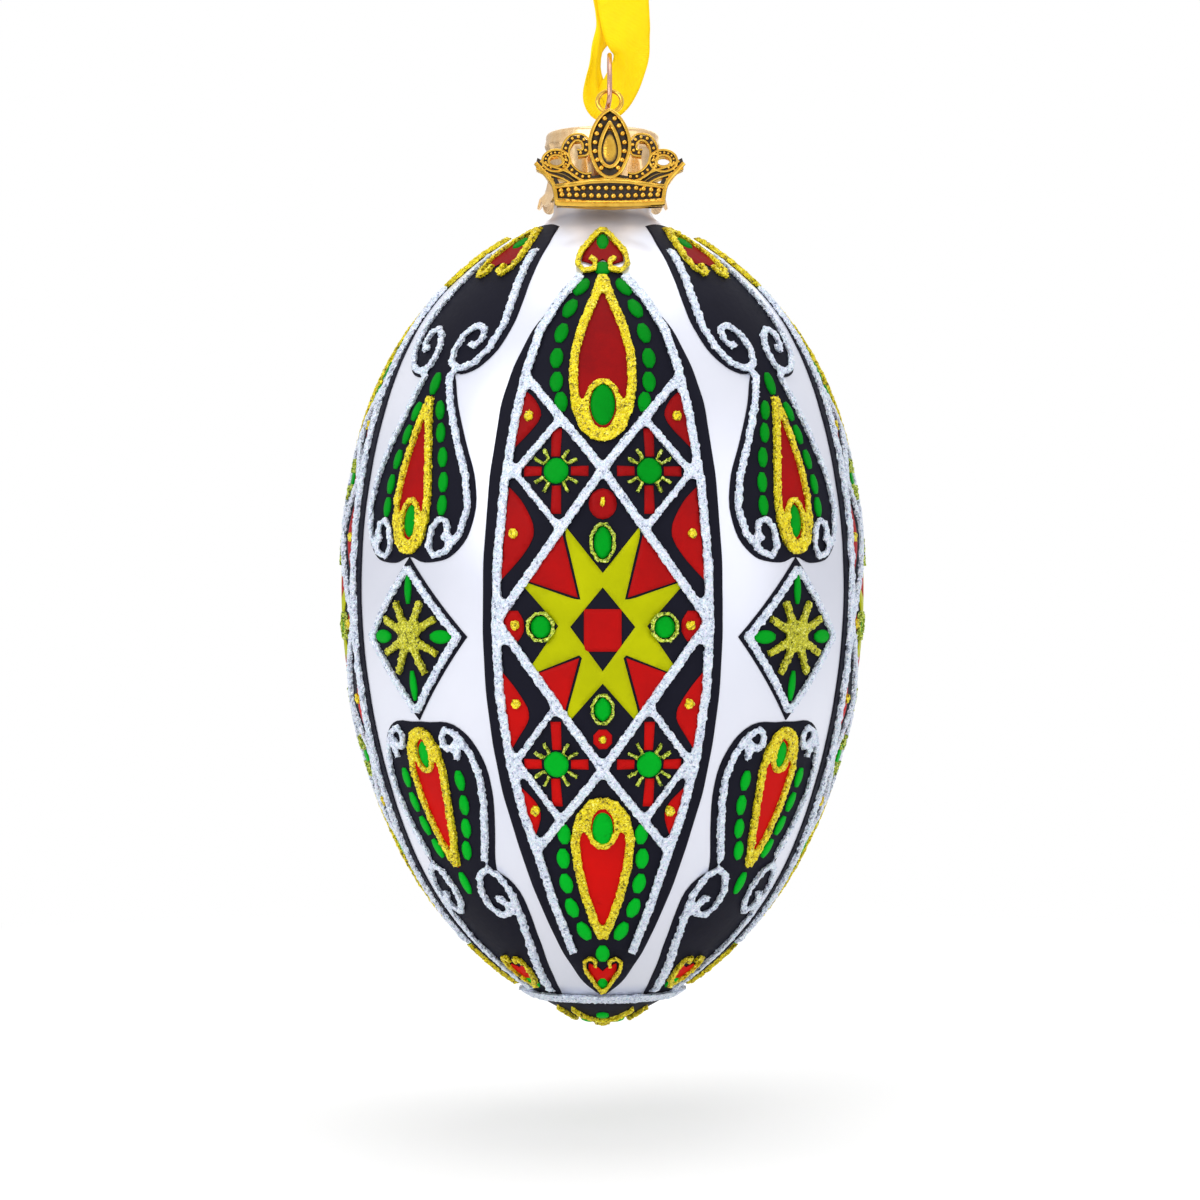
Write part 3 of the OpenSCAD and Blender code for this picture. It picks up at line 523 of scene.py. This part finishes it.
def cad_copy(node, name):
    """A merged copy of a construction node's mesh, as a new piece."""
    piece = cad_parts[node].copy()
    piece.data = piece.data.copy()
    for key in [k for k in piece.keys() if k.startswith("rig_")]:
        del piece[key]
    piece.parent = None
    piece.name = name
    bpy.context.scene.collection.objects.link(piece)
    piece.hide_render = piece.hide_viewport = False
    piece.hide_set(False)
    made = bmesh.new()
    made.from_mesh(piece.data)
    bmesh.ops.remove_doubles(made, verts=made.verts, dist=1e-6)
    bmesh.ops.dissolve_degenerate(made, edges=made.edges, dist=1e-7)
    made.to_mesh(piece.data)
    made.free()
    piece.data.materials.clear()
    return piece


def crown_bar(points, width, height, closed=False, steps=6):
    """A rim of the crown: a round bar laid along points on the plate's face."""
    line = through([(x, y, 0) for x, y in points], steps) if steps else [Vector((x, y, 0)) for x, y in points]
    if closed:
        line = line[:-1]
    bar = round_wire("rim", line, width, cast.material, closed, 3)
    bar.data.transform(Matrix.Translation((0, 0, (plate_face + height) * MM)))
    crown_parts.append(bar)


def beside(points, gap):
    """Points moved sideways by gap, to the left of their run."""
    moved = []
    for i, p in enumerate(points):
        a, b = Vector(points[max(0, i - 1)]), Vector(points[min(len(points) - 1, i + 1)])
        run = (b - a).normalized()
        moved.append((p[0] - run.y * gap, p[1] + run.x * gap))
    return moved


def mirrored(points):
    return [(-x, y) for x, y in points]


def bead_row(points, size, count, start=0.0, end=1.0):
    """So many round beads evenly along points."""
    line = through([(x, y, 0) for x, y in points], 8)
    runs = [0]
    for a, b in zip(line, line[1:]):
        runs.append(runs[-1] + (b - a).length)
    for k in range(count):
        want = runs[-1] * (start + (end - start) * k / (count - 1))
        i = max(j for j, r in enumerate(runs[:-1]) if r <= want)
        share = (want - runs[i]) / max(runs[i + 1] - runs[i], 1e-9)
        place = line[i].lerp(line[i + 1], share)
        bpy.ops.mesh.primitive_uv_sphere_add(segments=14, ring_count=8, radius=size / 2 * MM,
                                             location=(*(place.xy * MM), (plate_face + 0.04) * MM))
        bead = bpy.context.object
        bpy.ops.object.transform_apply(location=True, rotation=True, scale=True)
        bead.data.materials.append(cast.material)
        bead.data.shade_smooth()
        crown_parts.append(bead)


cast = Finish("antique_gold")
along_normal = cast.node("VectorMath", {"operation": "DOT_PRODUCT"}, {
    0: cast.node("VectorMath", {"operation": "SUBTRACT"}, {0: cast.place, 1: tuple(ring_middle * MM)}),
    1: (0, -math.cos(crown_lean), math.sin(crown_lean))}, out="Value")
pores = cast.grain(0.3 * MM, 4)
recess = (along_normal - (plate_face - 0.12) * MM) * (1 / (0.1 * MM))
raised = (along_normal - (plate_face + 0.05) * MM) * (1 / (0.06 * MM))
dark = (recess.clipped() * (1 - (raised + (pores - 0.5) * 0.8).clipped())).clipped()
worn = cast.blend((cast.grain(1.1 * MM, 3) * 1.3 - 0.15).clipped(), paint(206, 150, 44), paint(252, 208, 92))
cast.surface(Base_Color=cast.blend(dark, worn, paint(44, 30, 12)), Metallic=(1 - dark * 0.85).clipped(),
             Roughness=(0.14 + pores * 0.1 + dark * 0.4).clipped(), Normal=cast.bump(pores, 0.03 * MM))

bpy.ops.object.select_all(action="DESELECT")
plate = cad_copy("crown_charm", "crown")
plate.data.transform(crown_place.inverted())
plate.data.materials.append(cast.material)
crown_parts.append(plate)
crown_bar([*marquise, *mirrored(marquise)[-2:0:-1], marquise[0]], 0.42, 0.06, closed=True)
crown_bar([*drop_hole, *mirrored(drop_hole)[-2:0:-1], drop_hole[0]], 0.46, 0.08, closed=True)
for side in (lambda p: p, mirrored):
    for gap in (0.42, -0.42):
        crown_bar(side(beside(curl, gap)), 0.26, 0.04)
    bead_row(side(curl), 0.42, 15, 0.03, 0.97)
    crown_bar(side(beside(arm, 0.5)), 0.3, 0.04)
    crown_bar(side(beside(arm, -0.5)), 0.26, 0.04)
    crown_bar(side(arm), 0.16, 0.0)
    for rx, rz, width in ((1.55, 1.35, 0.3), (0.85, 0.7, 0.28)):
        crown_bar(side([(6 + rx * math.cos(a), -7.7 + rz * math.sin(a)) for a in
                        (math.tau * k / 16 for k in range(17))]), width, 0.05, closed=True)
    bead_row(side([(6 + 1.2 * math.cos(a), -7.7 + 1.02 * math.sin(a)) for a in
                   (math.radians(-60 + 18 * k) for k in range(17))]), 0.3, 13)
    crown_bar(side([(5.9, -13.1), (6.3, -10.6), (7.3, -9.2), (8.3, -8)]), 0.5, 0.02, steps=3)
    bead_row(side([(6.35, -10), (6.9, -9.3), (7.5, -8.4)]), 0.24, 5)
    crown_bar(side([(0.3, -9.9), (2, -10.1), (4.2, -10.5), (6.2, -10.8)]), 0.32, 0.06)
crown_bar([(-6.0, -12.95), (-3, -13.1), (0, -13.15), (3, -13.1), (6.0, -12.95)], 0.62, 0.06)
# the polished drop in the middle
bpy.ops.object.select_all(action="DESELECT")
bpy.ops.mesh.primitive_uv_sphere_add(segments=40, ring_count=24, radius=1 * MM, location=(0, 0, 0))
gem = bpy.context.object
for vert in gem.data.vertices:
    x, y, z = vert.co / MM
    vert.co = Vector((x * (1.12 - 0.42 * y), -6.1 + y * 2.6, plate_face - 0.25 + z * 0.42)) * MM
gem.data.shade_smooth()
gem.data.materials.append(cast.material)
crown_parts.append(gem)
bpy.ops.object.select_all(action="DESELECT")
for part in crown_parts:
    part.select_set(True)
bpy.context.view_layer.objects.active = plate
bpy.ops.object.join()
crown = bpy.context.object
crown.data.transform(crown_place)
crown.name = "cast_crown"
bpy.ops.object.shade_smooth_by_angle(angle=math.radians(35))
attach(crown, "charm")
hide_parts("crown_charm")


# ---------- Glass egg ----------
# A hollow blown egg with an open neck. The glass is frosted outside and silvered inside, so that it looks like
# pearl. Its side is five arcs that meet with a common tangent.
glass_wall = 0.9
neck_radius, fillet = 5.6, 1.5
top_angle, low_angle = math.radians(16.36), math.radians(26.07)


def egg_arcs():
    """The arcs of the side from the tip up, as middle x, middle z, radius and the angles they run between."""
    side_r, top_r, low_r, tip_r, half = 66.4, 37.4, 41.8, 8, 29.6
    x1 = half - side_r
    x2, z2 = x1 + (side_r - top_r) * math.cos(top_angle), (side_r - top_r) * math.sin(top_angle)
    x3, z3 = x1 + (side_r - low_r) * math.cos(low_angle), -(side_r - low_r) * math.sin(low_angle)
    z4 = z3 - math.sqrt((low_r - tip_r) ** 2 - x3 * x3)
    tip_angle = math.atan2(z3 - z4, -x3)
    return [(0, z4, tip_r, -math.pi / 2, -tip_angle), (x3, z3, low_r, -tip_angle, -low_angle),
            (x1, 0, side_r, -low_angle, top_angle), (x2, z2, top_r, top_angle, math.pi / 2)]


arcs = egg_arcs()
equator = egg_low.z / MM - (arcs[0][1] - arcs[0][2])
shoulder = arcs[3]
fillet_x = neck_radius + fillet
fillet_z = shoulder[1] + math.sqrt((shoulder[2] + fillet) ** 2 - (fillet_x - shoulder[0]) ** 2)
fillet_angle = math.asin((fillet_z - shoulder[1]) / (shoulder[2] + fillet))


def along_arcs(lift, last, steps):
    """Points of the side, lifted off the glass, from the tip up to an angle of the shoulder."""
    points = [(0, arcs[0][1] - arcs[0][2] - lift)]
    for (x, z, radius, start, end), count in zip(arcs, steps):
        end = last if (x, z, radius) == shoulder[:3] else end
        points += [(x + (radius + lift) * math.cos(a), z + (radius + lift) * math.sin(a))
                   for a in (start + (end - start) * k / count for k in range(1, count + 1))]
    return points


bore = neck_radius - glass_wall
bore_angle = math.acos((bore - shoulder[0]) / (shoulder[2] - glass_wall))
neck_top = egg_high.z / MM - equator
outline = along_arcs(0, fillet_angle, (14, 26, 36, 26))
outline += [(fillet_x + fillet * math.cos(a), fillet_z + fillet * math.sin(a))
            for a in (math.pi + fillet_angle * (1 - k / 8) for k in range(1, 9))]
outline += [(neck_radius, neck_top - 5), (neck_radius, neck_top - 0.4), (neck_radius - 0.12, neck_top - 0.1),
            (neck_radius - 0.4, neck_top), (bore + 0.2, neck_top), (bore, neck_top - 0.3)]
outline += along_arcs(-glass_wall, bore_angle, (8, 14, 18, 14))[::-1]
bpy.ops.object.select_all(action="DESELECT")
mesh = bpy.data.meshes.new("pearl_egg")
egg = bpy.data.objects.new("pearl_egg", mesh)
bpy.context.scene.collection.objects.link(egg)
mesh.from_pydata([(x * MM, 0, (z + equator) * MM) for x, z in outline],
                 [(k, k + 1) for k in range(len(outline) - 1)], [])
egg.select_set(True)
bpy.context.view_layer.objects.active = egg
bpy.ops.object.mode_set(mode="EDIT")
bpy.ops.mesh.select_all(action="SELECT")
bpy.ops.mesh.spin(steps=192, angle=math.tau, center=(0, 0, 0), axis=(0, 0, 1))
bpy.ops.mesh.select_all(action="SELECT")
bpy.ops.mesh.remove_doubles(threshold=1e-6)
bpy.ops.mesh.normals_make_consistent(inside=False)
bpy.ops.object.mode_set(mode="OBJECT")
bpy.ops.object.shade_smooth_by_angle(angle=math.radians(45))

pearl = Finish("pearl_glass")
clouds = pearl.grain(14 * MM, 3)
frost = pearl.grain(0.16 * MM, 3, roughness=0.7)
pearl.surface(Base_Color=pearl.blend(clouds, paint(220, 224, 238), paint(236, 237, 247)), Metallic=0.4,
              Roughness=(0.27 + clouds * 0.08 + frost * 0.08).clipped(), Coat_Weight=0.35,
              Coat_Roughness=0.22, Normal=pearl.bump(frost, 0.006 * MM))
mesh.materials.append(pearl.material)
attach(egg, "egg")
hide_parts("glass_egg")


# ---------- Brushed enamel ----------
# Opaque enamel laid on with a fine brush: black fields first, then red and yellow-green, then green dots. Each
# coat follows the glass, stands a little higher than the one under it and is drawn down at its rim.


def on_egg(point):
    """The arc nearest to a point, and the point's direction and height from it, in millimetres."""
    x, y, z = point / MM
    z -= equator
    out = math.hypot(x, y)
    for cx, cz, radius, start, end in arcs:
        angle = math.atan2(z - cz, out - cx)
        if angle <= end or end == shoulder[4]:
            break
    turn = math.atan2(y, x)
    lean = Vector((math.cos(angle) * math.cos(turn), math.cos(angle) * math.sin(turn), math.sin(angle)))
    middle_of_arc = Vector((cx * math.cos(turn), cx * math.sin(turn), cz + equator))
    return middle_of_arc, radius, lean, math.hypot(z - cz, out - cx) - radius


def at_height(point, height):
    middle_of_arc, radius, lean, _ = on_egg(point)
    return (middle_of_arc + lean * (radius + height)) * MM


def facing_out(made):
    """For each vertex of a coat: 1 on its face, -1 on its underside, 0 on the wall between."""
    sides = {}
    for vert in made.verts:
        ups = [f.normal.dot(on_egg(vert.co)[2]) for f in vert.link_faces]
        most = max(ups, key=abs, default=0)
        sides[vert] = 0 if abs(most) < 0.6 else math.copysign(1, most)
    return sides


def round_rims(made, sides, passes):
    """Rounds the outline of a coat: each rim vertex moves between its neighbours, but for sharp corners."""
    along = {}
    for edge in made.edges:
        side = sides[edge.verts[0]]
        if len(edge.link_faces) != 2 or side == 0 or side != sides[edge.verts[1]]:
            continue
        mixed = [any(sides[v] != side for v in f.verts) for f in edge.link_faces]
        if mixed[0] != mixed[1]:
            for vert in edge.verts:
                along.setdefault(vert, []).append(edge.other_vert(vert))
    along = {v: pair for v, pair in along.items() if len(pair) == 2}
    for vert, (a, b) in list(along.items()):
        if (vert.co - a.co).angle(b.co - vert.co, 0) > math.radians(50):
            del along[vert]
    for i in range(2 * passes):
        pull = -0.53 if i % 2 else 0.5
        moved = {v: v.co.lerp((a.co + b.co) / 2, pull) for v, (a, b) in along.items()}
        for vert, place in moved.items():
            vert.co = place
    for vert in made.verts:
        if sides[vert] == 0:
            near = [e.other_vert(vert).co for e in vert.link_edges if sides[e.other_vert(vert)]]
            if near:
                vert.co = sum(near, Vector()) / len(near)


def lay_coat(node, name, material, slot, high, foot, rim, longest=1.0):
    """A paint coat: the copy of a node, cut fine and fitted to the glass, its foot sunk and its rim drawn down."""
    piece = cad_copy(node, name)
    made = bmesh.new()
    made.from_mesh(piece.data)
    for _ in range(7):
        long_edges = [e for e in made.edges if e.calc_length() > longest * MM]
        if not long_edges:
            break
        bmesh.ops.subdivide_edges(made, edges=long_edges, cuts=1, use_grid_fill=False)
        bmesh.ops.triangulate(made, faces=[f for f in made.faces if len(f.verts) > 3])
    sides = facing_out(made)
    round_rims(made, sides, rim_passes)
    for vert in made.verts:
        on_rim = any(sides[e.other_vert(vert)] < 1 for e in vert.link_edges)
        heights = {1: high - rim * on_rim, -1: foot, 0: (high - rim + foot) / 2}
        vert.co = at_height(vert.co, heights[sides[vert]])
    made.to_mesh(piece.data)
    made.free()
    piece.data.materials.append(material)
    bpy.ops.object.select_all(action="DESELECT")
    piece.select_set(True)
    bpy.context.view_layer.objects.active = piece
    bpy.ops.object.shade_smooth_by_angle(angle=math.radians(42))
    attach(piece, "egg")
    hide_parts(node)
    return piece


def enamel(name, dull, bright, gloss, shaded_by_height=False):
    """Satin paint whose colour drifts between two shades, with faint brush marks. With the height option it also goes
    from the dull shade at the top of the egg to the bright one at the bottom, a painted shade.
    """
    finish = Finish(name)
    drift_and_shade = finish.grain(5 * MM, 2)
    brush = finish.grain(0.7 * MM, 4)
    if shaded_by_height:
        # painted shade: the top of the egg gets the dull shade and the bottom the bright one, as the light falls
        height = Socket(finish, finish.node("SeparateXYZ", None, {0: finish.place}).socket.node.outputs[2])
        drift_and_shade = (0.45 - (height - equator * MM) * (1 / (64 * MM)) + (drift_and_shade - 0.5) * 0.5).clipped()
    finish.surface(Base_Color=finish.blend((drift_and_shade * 0.85 + brush * 0.15).clipped(), dull, bright),
                   Roughness=(gloss + (brush - 0.5) * 0.14).clipped(), Normal=finish.bump(brush, 0.02 * MM),
                   Specular_IOR_Level=0.04)
    return finish.material


# the top, foot and rim drop of each coat, above the glass, in millimetres
ground_coat, paint_coat, dot_coat = (0.14, -0.02, 0.03), (0.28, 0.02, 0.05), (0.42, 0.04, 0.1)
ground_cut, dot_cut = 1.1, 0.6  # the longest edge of a field and of a daub
rim_passes = 8
black = enamel("black_enamel", paint(22, 22, 32), paint(30, 30, 42), 0.5)
# red and green carry a painted shade, darker towards the top of the egg
red = enamel("red_enamel", paint(126, 18, 22), paint(214, 18, 14), 0.45, shaded_by_height=True)
green = enamel("green_enamel", paint(0, 124, 22), paint(0, 186, 40), 0.45, shaded_by_height=True)
lime = enamel("lime_enamel", paint(150, 158, 4), paint(204, 206, 6), 0.42)
lay_coat("panel_ground", "panel_black", black, "black_enamel", *ground_coat, ground_cut)
lay_coat("scroll_ground", "scroll_black", black, "black_enamel", *ground_coat, ground_cut)
lay_coat("tip_ground", "tip_black", black, "black_enamel", *ground_coat, ground_cut)
lay_coat("panel_red", "panel_reds", red, "red_enamel", *paint_coat)
lay_coat("scroll_red", "scroll_reds", red, "red_enamel", *paint_coat)
lay_coat("panel_star", "eight_point_star", lime, "lime_enamel", *paint_coat)
lay_coat("panel_green", "panel_greens", green, "green_enamel", *dot_coat, dot_cut)
lay_coat("scroll_green", "scroll_greens", green, "green_enamel", *dot_coat, dot_cut)
lay_coat("tip_green", "tip_greens", green, "green_enamel", *dot_coat, dot_cut)


# ---------- Glitter lines ----------
# Glue loaded with glitter, squeezed out of a fine nozzle as raised lines: silver-white round the panels and
# scrolls, gold round the drops. It dries crumbly, full of small flakes that lie at all angles.
line_top = 0.88
line_sag = 0.14                 # how far the smooth body of a line stays below its top, for the crumbs
flake, small_flake = 0.3 * MM, 0.15 * MM
crust = bpy.data.textures.new("crust", "CLOUDS")
crust.noise_scale, crust.noise_depth = 0.45 * MM, 3
crumbs = bpy.data.textures.new("crumbs", "VORONOI")
crumbs.noise_scale = flake


def glitter(name, flakes, rough, metal):
    """Glue full of flakes: every cell is a flake with its own colour, shine and tilt."""
    finish = Finish(name)
    shift = finish.node("VectorMath", {"operation": "ADD"}, {
        0: finish.place, 1: finish.node("VectorMath", {"operation": "SCALE"}, {
            0: finish.node("TexNoise", None, {"Vector": finish.place, "Scale": 1 / flake}, out="Color"),
            "Scale": 0.1 * MM})})
    cell = finish.node("TexVoronoi", {"feature": "F1"}, {"Vector": shift, "Scale": 1 / flake}, out="Color")
    small = finish.node("TexVoronoi", {"feature": "F1"}, {"Vector": shift, "Scale": 1 / small_flake}, out="Color")
    pick = finish.node("SeparateXYZ", None, {0: cell})
    pick_small = finish.node("SeparateXYZ", None, {0: small})
    shine = Socket(finish, pick_small.socket.node.outputs[1])
    colour = finish.node("ValToRGB", {"steps": "CONSTANT", "stops": flakes}, {0: (pick * 0.55 + pick_small * 0.45)})
    tilt = finish.node("VectorMath", {"operation": "SCALE"}, {
        0: finish.node("VectorMath", {"operation": "SUBTRACT"}, {0: small, 1: (0.5, 0.5, 0.5)}), "Scale": 0.75})
    facing = finish.node("VectorMath", {"operation": "NORMALIZE"}, {0: finish.node(
        "VectorMath", {"operation": "ADD"}, {0: finish.node("NewGeometry", out="Normal"), 1: tilt})})
    finish.surface(Base_Color=colour, Roughness=(rough + (shine - 0.5) * 0.3).clipped(),
                   Metallic=(shine > 0.45) * metal, Normal=facing)
    return finish.material


silver_white = glitter("white_glitter", [
    (0.0, paint(140, 150, 172)), (0.17, paint(196, 208, 228)), (0.27, paint(214, 226, 240)),
    (0.42, paint(226, 224, 246)), (0.52, paint(234, 242, 250)), (0.62, paint(204, 228, 236)),
    (0.72, paint(244, 246, 252)), (0.86, paint(188, 200, 224))],
    0.38, 0.5)
gold_flakes = glitter("gold_glitter", [
    (0.0, paint(112, 100, 6)), (0.18, paint(180, 158, 6)), (0.3, paint(220, 198, 8)),
    (0.42, paint(240, 220, 12)), (0.55, paint(228, 204, 6)), (0.64, paint(250, 238, 50)),
    (0.78, paint(202, 176, 8)), (0.88, paint(255, 250, 120))],
    0.36, 0.6)
olive_flakes = glitter("olive_glitter", [
    (0.0, paint(82, 84, 10)), (0.18, paint(150, 148, 14)), (0.3, paint(190, 188, 24)),
    (0.44, paint(212, 208, 30)), (0.56, paint(176, 176, 16)), (0.66, paint(232, 230, 90)),
    (0.78, paint(150, 150, 14)), (0.88, paint(238, 238, 130))],
    0.36, 0.5)
lime_flakes = glitter("lime_glitter", [
    (0.0, paint(44, 60, 16)), (0.2, paint(112, 132, 20)), (0.3, paint(170, 190, 40)),
    (0.44, paint(208, 222, 70)), (0.56, paint(150, 176, 30)), (0.66, paint(232, 240, 130)),
    (0.78, paint(120, 150, 24)), (0.88, paint(216, 226, 90))],
    0.36, 0.5)


def crust_lines(node, name, material, voxel, keep=None):
    """Glitter lines: the copy of a node, thickened down to the paint, remeshed fine and crumpled."""
    piece = cad_copy(node, name)
    made = bmesh.new()
    made.from_mesh(piece.data)
    if keep:
        left = set(made.verts)
        while left:
            island, front = set(), [next(iter(left))]
            while front:
                vert = front.pop()
                if vert in island:
                    continue
                island.add(vert)
                front += [e.other_vert(vert) for e in vert.link_edges]
            left -= island
            centre = sum((v.co for v in island), Vector()) / len(island)
            if not keep(centre / MM):
                bmesh.ops.delete(made, geom=list(island), context="VERTS")
    for _ in range(5):
        long_edges = [e for e in made.edges if e.calc_length() > 1.2 * MM]
        bmesh.ops.subdivide_edges(made, edges=long_edges, cuts=1, use_grid_fill=False)
        bmesh.ops.triangulate(made, faces=[f for f in made.faces if len(f.verts) > 3])
    sides = facing_out(made)
    for vert in made.verts:
        vert.co = at_height(vert.co, {1: line_top - line_sag, -1: 0, 0: line_top / 2}[sides[vert]])
    made.to_mesh(piece.data)
    made.free()
    bpy.ops.object.select_all(action="DESELECT")
    piece.select_set(True)
    bpy.context.view_layer.objects.active = piece
    cells = piece.modifiers.new("cells", "REMESH")
    cells.mode, cells.voxel_size = "VOXEL", voxel * MM
    soften = piece.modifiers.new("soften", "SMOOTH")
    soften.factor, soften.iterations = 0.6, 3
    for texture, depth in ((crust, 0.3), (crumbs, 0.16)):
        rough = piece.modifiers.new("rough", "DISPLACE")
        rough.texture, rough.strength, rough.mid_level, rough.texture_coords = texture, depth * MM, 0.72, "LOCAL"
    for modifier in [m.name for m in piece.modifiers]:
        bpy.ops.object.modifier_apply(modifier=modifier)
    piece.data.materials.append(material)
    piece.data.shade_flat()
    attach(piece, "egg")
    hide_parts(node)
    return piece


def in_lime(place):
    """True where gold gives way to yellow-green: the rays of the small squares and the rings round the star."""
    turn = math.atan2(place.x, -place.y)
    turn -= math.pi / 2 * round(turn / (math.pi / 2))
    x, z = math.hypot(place.x, place.y) * math.sin(turn), place.z - equator
    in_square = any(math.hypot(abs(x) - 4.9, z - mid) < 3.6 for mid in (12.5, -18.6))
    return in_square or any(math.hypot(abs(x) - a, z - b) < 0.8 for a, b in ((0, 4.9), (0, -12.7), (6.5, -4)))


def in_diamond(place):
    return -12 < place.z - equator < 2.5


crust_lines("panel_white_lines", "panel_white_glitter", silver_white, 0.28)
crust_lines("scroll_white_lines", "scroll_white_glitter", silver_white, 0.26)
crust_lines("tip_ring", "tip_white_glitter", silver_white, 0.2)
crust_lines("panel_gold_lines", "panel_gold_glitter", gold_flakes, 0.2, lambda p: not in_lime(p))
crust_lines("panel_gold_lines", "panel_lime_glitter", lime_flakes, 0.18, in_lime)
crust_lines("scroll_gold_lines", "scroll_gold_glitter", gold_flakes, 0.2, lambda p: not in_diamond(p))
crust_lines("scroll_gold_lines", "scroll_olive_glitter", olive_flakes, 0.2, in_diamond)
crust_lines("tip_gold_lines", "tip_gold_glitter", gold_flakes, 0.18)
